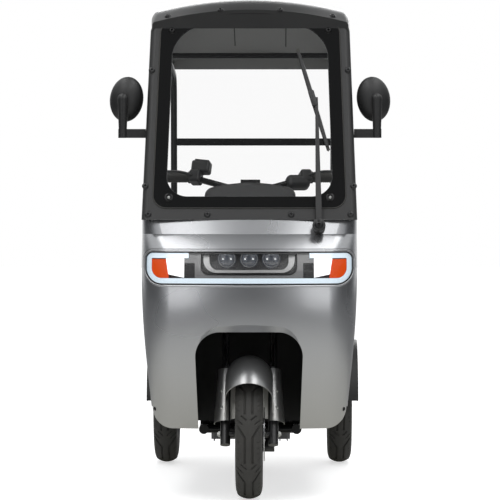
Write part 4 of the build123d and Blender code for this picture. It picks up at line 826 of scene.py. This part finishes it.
def blade_carrier():
    """The tapered carrier along the wiper blade and the clip that holds it to the arm."""
    verts, steps = [], 12
    for k in range(steps + 1):
        share = 0.04 + 0.92 * k / steps
        half = CARRIER_HALF + CARRIER_SWELL * sin(pi * share)
        verts += [on_blade(share, side * half, out) for side, out in CARRIER_SECTION]
    faces = grid_faces(steps + 1, 4, wrap_cols=True) + [(3, 2, 1, 0), tuple(range(4 * steps, 4 * steps + 4))]
    piece("blade_carrier", verts, faces, "wiper", "wiper_black", smooth=False)
    clip = frame_at(on_blade(0.5, 0.0, CLIP_HEIGHT), SCREEN_OUT, on_blade(1.0) - on_blade(0.0))
    piece("blade_clip", *slab(clip, 30, 10, 6, 8.5, 2.5), "wiper", "wiper_black")


# The seams of the ceiling: where they are across the roof, from where to where they run, and how many points
SEAM_X, SEAM_RUN, SEAM_POINTS = (-0.072, 0.125), (-0.32, 0.78), 40
UNDER_ROOF = 1.40


def ceiling_seams():
    """Two thin seams between the panels of the roof's lining."""
    seams = []
    for x in SEAM_X:
        points = []
        for y in np.linspace(*SEAM_RUN, SEAM_POINTS):
            hit, spot, normal, _ = nodes["roof"].ray_cast(Vector((x, y, UNDER_ROOF)), Vector((0.0, 0.0, 1.0)))
            if hit and normal.z < -0.3:
                points.append(spot)
        seams.append(tube_mesh(points, 1.8 * MM, 8))
    piece("ceiling_seams", *joined(seams), "body", "liner_plastic")


# The display on the instrument pod's rear, back and up in the steering's frame
DISPLAY_BACK, DISPLAY_UP = -22 * MM, BAR_HEIGHT - 46 * MM


def handlebar_details():
    """The lid of the fluid pot with its two screws, and the display on the instrument pod's rear."""
    faces = [f for f in nodes["hand_controls"].data.polygons if f.normal.z > 0.8 and f.center.x < 0.0]
    top = max(f.center.z for f in faces)
    flat = [f for f in faces if f.center.z > top - 12 * MM and f.area > 1e-4]
    centre = sum((f.center * f.area for f in flat), Vector()) / sum(f.area for f in flat)
    normal = sum((f.normal * f.area for f in flat), Vector()).normalized()
    lid = frame_at(centre - normal * 0.3 * MM, normal)
    piece("pot_lid", *slab(lid, 25, 15, 4, 2.6, 0.8), "steering", "wiper_black")
    heads = [screw_mesh(moved(lid, side * 17, 0.0, 2.4), 2.6 * MM) for side in (-1, 1)]
    piece("pot_lid_screws", *joined(heads), "steering", "zinc_steel")
    spot = bar_place(0.0, DISPLAY_BACK, DISPLAY_UP)
    out = (bar_place(0.0, DISPLAY_BACK + MM, BAR_HEIGHT)
           - bar_place(0.0, DISPLAY_BACK, BAR_HEIGHT)).normalized()
    panel = frame_at(spot - out * 0.3 * MM, out)
    piece("display_frame", *slab(panel, 128, 22, 9, 1.6, 0.6), "steering", "frame_paint")
    face = frame_at(spot + out * 1.1 * MM, out)
    piece("display_glass", *slab(face, 120, 16, 6, 0.8, 0.3), "steering", "lamp_black")


# The pockets on the leg shield: their middle, half their width and height, and in millimetres from that
# middle where the pull and the lock sit; then the bag hook's wire, out from the wall and up from the middle
POCKET_X, POCKET_Z = 190 * MM, 715 * MM
POCKET_HALF = (118, 128)
SEAM_WIDTH = 2.6
PULL_UP, LOCK_ASIDE, LID_TOP = -84, 84, 3.4
LOCK = [(9, 0), (9, 2.2), (8, 3), (1, 3)]
HOOK_UP = 96 * MM
HOOK_WIRE = ((1, 86), (14, 84), (24, 76), (27, 66), (33, 61), (40, 64), (43, 74), (43, 82))


def pockets():
    """Two pocket lids on the leg shield's rear, each with a seam, a pull and a lock, and a bag hook."""
    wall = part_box("leg_shield")[1].y

    def on_wall(x, z):
        return frame_at(Vector((x, wall - 0.3 * MM, z)), (0.0, 1.0, 0.0))

    seams, lids, pulls, locks, slots = [], [], [], [], []
    for side in (-1, 1):
        place = on_wall(side * POCKET_X, POCKET_Z)
        seams.append(slab(place, *(half + SEAM_WIDTH for half in POCKET_HALF), 24, 0.9, 0.3))
        lids.append(slab(place, *POCKET_HALF, 22, 3.8, 1.6))
        pulls.append(slab(moved(place, 0.0, PULL_UP, LID_TOP), 34, 9, 8, 5, 2.4))
        lock = moved(place, side * LOCK_ASIDE, PULL_UP, LID_TOP)
        locks.append(turned(LOCK, 28, lock))
        slots.append(slab(moved(lock, 0.0, 0.0, 2.7), 1, 4.5, 0.8, 0.6, 0.2))
    for name, parts, slot in (("seams", seams, "liner_plastic"), ("lids", lids, "black_plastic"),
                              ("pulls", pulls, "frame_paint"), ("locks", locks, "zinc_steel"),
                              ("lock_slots", slots, "lamp_black")):
        piece(f"pocket_{name}", *joined(parts), "body", slot)
    wire = [Vector((0.0, wall + y * MM, POCKET_Z + z * MM)) for y, z in HOOK_WIRE]
    hook = [slab(on_wall(0.0, POCKET_Z + HOOK_UP), 14, 22, 8, 3.4, 1.2), tube_mesh(wire, 4 * MM, 12)]
    piece("bag_hook", *joined(hook), "body", "frame_paint")


def screen_seal():
    """The black rubber edge round the screen."""
    loop = edge_loop("windscreen", SCREEN_OUT)
    piece("screen_seal", *tube_mesh([p + SCREEN_OUT * 0.2 * MM for p in loop], 2.2 * MM, 8, closed=True),
          "body", "wiper_rubber")


# The painted shade across the roof's front: half its width, its foot and how high its top bows
SHADE_STRIP_HALF, SHADE_STRIP_FOOT, SHADE_STRIP_RISE = 0.086, 1.6325, 5 * MM


def roof_slot_shade():
    """A thin dark sheet across the front of the roof, following its curve: painted shade of a dark slot."""
    rows, cols = 3, 31
    verts = []
    for j in range(cols):
        share = 2 * j / (cols - 1) - 1
        for i in range(rows):
            z = SHADE_STRIP_FOOT + (1 - share ** 2) * SHADE_STRIP_RISE * (i / (rows - 1))
            verts.append(surface_place("roof", share * SHADE_STRIP_HALF, z, sink=-0.5 * MM).translation)
    # A near-black sheet laid on the roof: painted shade, with no real opening
    piece("roof_slot_shade", verts, grid_faces(cols, rows), "body", "liner_plastic")


# The ends of a grip across, back and up in the steering's frame, and the rings on it with their profile
GRIP_START = (205 * MM, 33 * MM, BAR_HEIGHT + 51 * MM)
GRIP_END = (330 * MM, 65 * MM, BAR_HEIGHT + 64 * MM)
GRIP_RINGS, GRIP_RING = 15, [(16.5, -2.2), (18.2, -1.4), (18.2, 1.4), (16.5, 2.2)]


def grip_ribs():
    """Raised rings round both grips."""
    parts = []
    for side in (-1, 1):
        start, end = [bar_place(side * x, back, up) for x, back, up in (GRIP_START, GRIP_END)]
        for k in range(GRIP_RINGS):
            spot = start.lerp(end, 0.16 + 0.80 * k / (GRIP_RINGS - 1))
            parts.append(turned(GRIP_RING, 28, frame_at(spot, (end - start).normalized(), (0.0, 1.0, 0.0))))
    piece("grip_ribs", *joined(parts), "steering", "grip_rubber")


def floor_mat():
    """A ribbed rubber mat on the footboard."""
    low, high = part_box("floor_board")
    rib, step, tall = 4 * MM, 22 * MM, 2.5 * MM
    margin = 22 * MM
    (x0, x1), (y0, y1) = [(low[axis] + margin, high[axis] - margin) for axis in (0, 1)]
    base = high.z + 0.3 * MM
    section = ((-rib, MM), (-rib / 2, tall), (rib / 2, tall), (rib, MM))
    line = [(x0, base)]
    x = x0 + step / 2
    while x < x1 - step / 2:
        line += [(x + across, base + up) for across, up in section]
        x += step
    line.append((x1, base))
    verts = [Vector((x, y, z)) for y in (y0, y1) for x, z in line]
    count = len(line)
    faces = grid_faces(2, count)
    faces += [tuple(range(count))[::-1], tuple(range(count, 2 * count)), (0, count, 2 * count - 1, count - 1)]
    piece("floor_mat", verts, faces, "body", "tyre_rubber", smooth=False)


# Rear springs


# The springs' place across, the bolt at their head back and up, and the coil's turns, radius and wire
SPRING_X = 205 * MM
SPRING_HEAD = (0.640, 0.440)
SPRING_TURNS, COIL_RADIUS, COIL_WIRE = 7.5, 22 * MM, 4.2 * MM
# From the axle to the damper's foot, from there to the coil's, and from the coil's two ends to the whole
FOOT_GAP, COIL_FOOT, COIL_LOSS = 25.3 * MM, 31 * MM, 65 * MM
BOLT_X = 177.3 * MM


def springs():
    """Coil springs over dampers, from the axle beam up to a bolt on the frame, in place of the plain ones."""
    for side, label in ((1, "left"), (-1, "right")):
        axle = Vector((side * SPRING_X, REAR_AXLE.y, REAR_AXLE.z))
        head = Vector((side * SPRING_X, *SPRING_HEAD))
        way = (head - axle).normalized()
        foot = axle + way * FOOT_GAP
        length = (head - foot).length
        place = frame_at(foot, way)
        top = length / MM
        sleeve = top * 0.56
        body = turned([(14, 0), (16, 3), (16, 22), (26, 23), (26, 27), (14.5, 28), (14.5, sleeve),
                       (12, sleeve + 4), (6, sleeve + 5), (6, top - 31), (26, top - 30), (26, top - 26),
                       (12, top - 24), (12, top - 10)], 28, place)
        coil = []
        steps = 300
        for k in range(steps + 1):
            share = k / steps
            rise = COIL_FOOT + (length - COIL_LOSS) * share
            coil.append(place @ around(COIL_RADIUS, 2 * pi * SPRING_TURNS * share, rise))
        across = frame_at(head - Vector((side * 13 * MM, 0, 0)), (side, 0, 0), (0, 1, 0))
        eye = turned([(8, 0), (14, 1), (14, 25), (8, 26)], 28, across)
        pin = frame_at(Vector((side * BOLT_X, *SPRING_HEAD)), (side, 0, 0), (0, 1, 0))
        bolt = turned([(6, 0), (6, 41), (9, 41.5), (9, 46), (5, 48)], 24, pin)
        made = piece(f"spring_damper_{label}", *joined([body, eye, bolt]), "body", "spring_steel")
        wire = piece(f"spring_coil_{label}", *tube_mesh(coil, COIL_WIRE), "body", "spring_steel")
        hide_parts("springs")
        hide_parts("springs")


# Seat cushions, blown up as sewn covers over foam


# Node, body, the axes across the seat, along it and the way it swells, that way's sense, rows of stitching
CUSHIONS = [
    ("driver_cushion", "driver_seat", (0, 1, 2), 1, 5),
    ("driver_backrest", "body", (0, 2, 1), -1, 4),
    ("rear_cushion", "body", (0, 1, 2), 1, 5),
    ("rear_backrest", "body", (0, 2, 1), -1, 4),
]
CUSHION_SHRINK = 9 * MM
CUSHION_CAP = 12 * MM
CUSHION_VOXEL = 7 * MM
CUSHION_ROUND = 16 * MM
CUSHION_STEPS = 20
CHANNEL_HALF = 4.5 * MM
CHANNEL_DEPTH = 5 * MM
PANEL_SHARE = 0.66
PANEL_MARGIN = 30 * MM
# The welt: the corner it goes round, how far in and how far down it runs, and its radius
WELT_CORNER, WELT_INSET, WELT_DROP, WELT_RADIUS = 34 * MM, 10 * MM, 17 * MM, 2.6 * MM


def vectors(items, name):
    """An array of one vector of each item of a mesh."""
    found = np.empty(len(items) * 3)
    items.foreach_get(name, found)
    return found.reshape(-1, 3)


def mesh_points(mesh):
    return vectors(mesh.vertices, "co")


def bake(made):
    """Puts the piece's mesh with its modifiers worked out in place of the old one."""
    depsgraph = bpy.context.evaluated_depsgraph_get()
    mesh = bpy.data.meshes.new_from_object(made.evaluated_get(depsgraph))
    made.modifiers.clear()
    made.data = mesh


def cushion_start(node, axes, sense):
    """A rounded block inside the plain solid, remeshed evenly, its back or foot on the solid's."""
    low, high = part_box(node)
    size = [high[i] - low[i] - 2 * CUSHION_SHRINK for i in range(3)]
    centre = (low + high) / 2
    lift = axes[2]
    size[lift] += CUSHION_SHRINK
    centre[lift] -= sense * CUSHION_SHRINK / 2
    shape = bmesh.new()
    bmesh.ops.create_cube(shape, size=1.0)
    bmesh.ops.scale(shape, vec=size, verts=shape.verts)
    bmesh.ops.bevel(shape, geom=shape.edges[:], offset=CUSHION_ROUND, segments=4, profile=0.5, affect="EDGES")
    bmesh.ops.translate(shape, vec=centre, verts=shape.verts)
    mesh = bpy.data.meshes.new(f"{node}_cover")
    shape.to_mesh(mesh)
    shape.free()
    made = placed(f"{node}_cover", mesh)
    remesh = made.modifiers.new("even", "REMESH")
    remesh.mode = "VOXEL"
    remesh.voxel_size = CUSHION_VOXEL
    bake(made)
    return made


def hold_back(made, node, axes, sense):
    """Holds the side that rests on the pan or the frame while the cover is blown up."""
    low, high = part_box(node)
    rest = low[axes[2]] if sense > 0 else high[axes[2]]
    held = made.vertex_groups.new(name="held")
    points = mesh_points(made.data)
    near = np.abs(points[:, axes[2]] - rest) < 10 * MM
    held.add([int(i) for i in np.nonzero(near)[0]], 1.0, "REPLACE")
    cloth = made.modifiers.new("cloth", "CLOTH")
    cloth.settings.quality = 6
    cloth.settings.use_pressure = True
    cloth.settings.uniform_pressure_force = 4.0
    cloth.settings.effector_weights.gravity = 0.0
    cloth.settings.vertex_group_mass = "held"
    cloth.collision_settings.use_collision = False


def blow_up(covers):
    """Runs the covers' cloth together and keeps where it takes them, no further than the cap."""
    starts = [mesh_points(made.data) for made in covers]
    scene = bpy.context.scene
    for step in range(1, CUSHION_STEPS + 1):
        scene.frame_set(step)
    depsgraph = bpy.context.evaluated_depsgraph_get()
    for made, start in zip(covers, starts):
        moved = mesh_points(made.evaluated_get(depsgraph).data) - start
        reach = np.linalg.norm(moved, axis=1, keepdims=True)
        moved *= np.minimum(1.0, CUSHION_CAP / np.maximum(reach, 1e-9))
        made.modifiers.clear()
        made.data.vertices.foreach_set("co", (start + moved).ravel())
    scene.frame_set(1)


def sew(made, node, axes, sense, rows):
    """Subdivides a cover once and sinks its seams: two along it and rows across the panel between."""
    fine = made.modifiers.new("fine", "SUBSURF")
    fine.levels = 1
    bake(made)
    mesh = made.data
    points = mesh_points(mesh)
    normals = vectors(mesh.vertex_normals, "vector")
    low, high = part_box(node)
    across = points[:, axes[0]] - (low[axes[0]] + high[axes[0]]) / 2
    half = (high[axes[0]] - low[axes[0]]) / 2 * PANEL_SHARE
    v0, v1 = low[axes[1]] + PANEL_MARGIN, high[axes[1]] - PANEL_MARGIN
    along = points[:, axes[1]]

    def channel(distance):
        return np.exp(-(distance / CHANNEL_HALF) ** 2)

    cut = channel(np.abs(across) - half)
    inside = np.clip((half - np.abs(across)) / (3 * MM), 0.0, 1.0)
    for k in range(rows + 1):
        cut = np.maximum(cut, inside * channel(along - v0 - (v1 - v0) * k / rows))
    facing = np.clip((sense * normals[:, axes[2]] - 0.15) / 0.4, 0.0, 1.0)
    points[:, axes[2]] -= sense * cut * facing * CHANNEL_DEPTH
    mesh.vertices.foreach_set("co", points.ravel())
    mesh.polygons.foreach_set("use_smooth", [True] * len(mesh.polygons))
    mesh.update()


def piping(made, node, body, axes, sense):
    """The welt sewn round the edge between the panel and the side of a cushion."""
    low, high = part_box(node)
    top = high[axes[2]] if sense > 0 else low[axes[2]]
    half_u, half_v = [(high[axis] - low[axis]) / 2 - WELT_INSET for axis in axes[:2]]
    centre = (low + high) / 2
    path = rounded(half_u, half_v, WELT_CORNER)
    fine = []
    for (u0, v0), (u1, v1) in zip(path, path[1:] + path[:1]):
        count = max(1, int(hypot(u1 - u0, v1 - v0) / (8 * MM)))
        fine += [(u0 + (u1 - u0) * k / count, v0 + (v1 - v0) * k / count) for k in range(count)]
    points = []
    for u, v in fine:
        spot = centre.copy()
        spot[axes[0]] += u
        spot[axes[1]] += v
        spot[axes[2]] = top - sense * WELT_DROP
        _, near, normal, _ = made.closest_point_on_mesh(spot)
        points.append(near + normal * 0.8 * MM)
    smooth = [(points[k - 1] + points[k] * 2 + points[(k + 1) % len(points)]) / 4 for k in range(len(points))]
    piece(f"{node}_piping", *tube_mesh(smooth, WELT_RADIUS, 8, closed=True), body, "seat_cover")


def cushions():
    covers = []
    for node, _, axes, sense, _ in CUSHIONS:
        made = cushion_start(node, axes, sense)
        hold_back(made, node, axes, sense)
        covers.append(made)
    blow_up(covers)
    for made, (node, body, axes, sense, rows) in zip(covers, CUSHIONS):
        sew(made, node, axes, sense, rows)
        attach(made, body)
        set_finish(made, "seat_cover")
        coat(made, "seat_cover")
        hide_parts(node)
        piping(made, node, body, axes, sense)


# Camera, light and floor


# The photograph's camera: its place, how far it looks down and to the left in degrees, and its focal
# length and width in pixels
CAMERA_PLACE, CAMERA_DOWN, CAMERA_LEFT = (0.102, -9.955, 1.0), 1.06, 0.62
FOCAL_PIXELS, PICTURE_PIXELS = 2760.0, 500.0


def camera():
    data = bpy.data.cameras.new("camera")
    data.sensor_width = 36.0
    data.lens = FOCAL_PIXELS * data.sensor_width / PICTURE_PIXELS
    data.clip_end = 100.0
    made = placed("camera", data)
    made.location = CAMERA_PLACE
    made.rotation_euler = (radians(90 - CAMERA_DOWN), 0.0, radians(CAMERA_LEFT))
    bpy.context.scene.camera = made


def rays(tree, *names):
    """What kind of ray it is, one socket for each name."""
    path = tree.nodes.new("ShaderNodeLightPath")
    return [Socket(tree, path.outputs[name]) for name in names]


def world():
    """White for the camera and the clear sheets. In reflections it is bright above and behind the vehicle,
    and dark behind the camera but for two wings."""
    made = bpy.data.worlds.new("studio")
    bpy.context.scene.world = made
    made.use_nodes = True
    tree = made.node_tree
    back = tree.nodes["Background"]
    way = Socket(tree, tree.nodes.new("ShaderNodeTexCoord").outputs["Generated"])
    eye, gloss, through = rays(tree, "Is Camera Ray", "Is Glossy Ray", "Is Transmission Ray")
    side = way.axis(0).magnitude()
    before = (0.0 - way.axis(1)).step(-0.95, -0.50)
    wings = side.step(0.10, 0.45) * (1.0 - side.step(0.60, 0.95))
    front = wings.blend((0.05, 0.052, 0.056), (0.60, 0.61, 0.63))
    above = side.step(0.04, 0.30).blend((0.16, 0.165, 0.17), (1.0, 1.01, 1.02))
    low_room = before.blend((1.0, 1.0, 1.0), front)
    room = way.axis(2).step(0.25, 0.60).blend(low_room, above)
    light = gloss.blend((0.50, 0.51, 0.53), room)
    shown = (eye + through).clamped().blend(light, (1.0, 1.0, 1.0))
    tree.links.new(shown.socket, back.inputs["Color"])


def floor_white(place):
    """White for the camera, plainer far off; in reflections dark but for some light near the front wheel."""
    far = place.distance(FRONT_AXLE).step(1.2, 2.8)
    eye, gloss = rays(place.tree, "Is Camera Ray", "Is Glossy Ray")
    bright = far.blend(grey(0.60), grey(1.0))
    dim = (gloss * (1.0 - far)).blend(grey(0.0), (0.14, 0.135, 0.10))
    return {"Base Color": far.blend((0.80, 0.80, 0.79), grey(0.25)), "Roughness": 0.7,
            "Emission Color": eye.blend(dim, bright), "Emission Strength": 1.0}


def floor():
    size = 30.0
    made = piece("floor", [(-size, -size, 0), (size, -size, 0), (size, size, 0), (-size, size, 0)],
                 [(0, 1, 2, 3)], "body", "white_plate", smooth=False)
    made.location.z = -0.0005
    del made["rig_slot"]
    wear(made, finish("floor", floor_white))


def softbox(name, place, aim, size, power):
    data = bpy.data.lights.new(name, "AREA")
    data.shape = "RECTANGLE"
    data.size, data.size_y = size
    data.energy = power
    made = placed(name, data)
    made.location = place
    made.rotation_euler = (Vector(aim) - Vector(place)).to_track_quat("-Z", "Y").to_euler()


def lights():
    for side, label in ((-1, "left"), (1, "right")):
        softbox(f"top_{label}", (side * 1.5, -3.0, 4.6), (side * 1.5, -3.0, 0.0), (1.4, 8.0), 95.0)
        softbox(f"front_{label}", (side * 2.6, -5.8, 1.15), (0.0, -0.7, 0.75), (1.5, 2.2), 17.0)
    softbox("rear", (0.5, 5.0, 3.0), (0.0, 0.4, 0.9), (3.0, 2.0), 60.0)


bpy.context.scene.view_settings.view_transform = "Standard"
camera()
world()
lights()
floor()
coat_frame()
tyres()
wheel_fittings()
screws()
lamp_lip()
lens_details()
wiper_cap()
blade_carrier()
ceiling_seams()
handlebar_details()
pockets()
screen_seal()
roof_slot_shade()
grip_ribs()
floor_mat()
springs()
cushions()
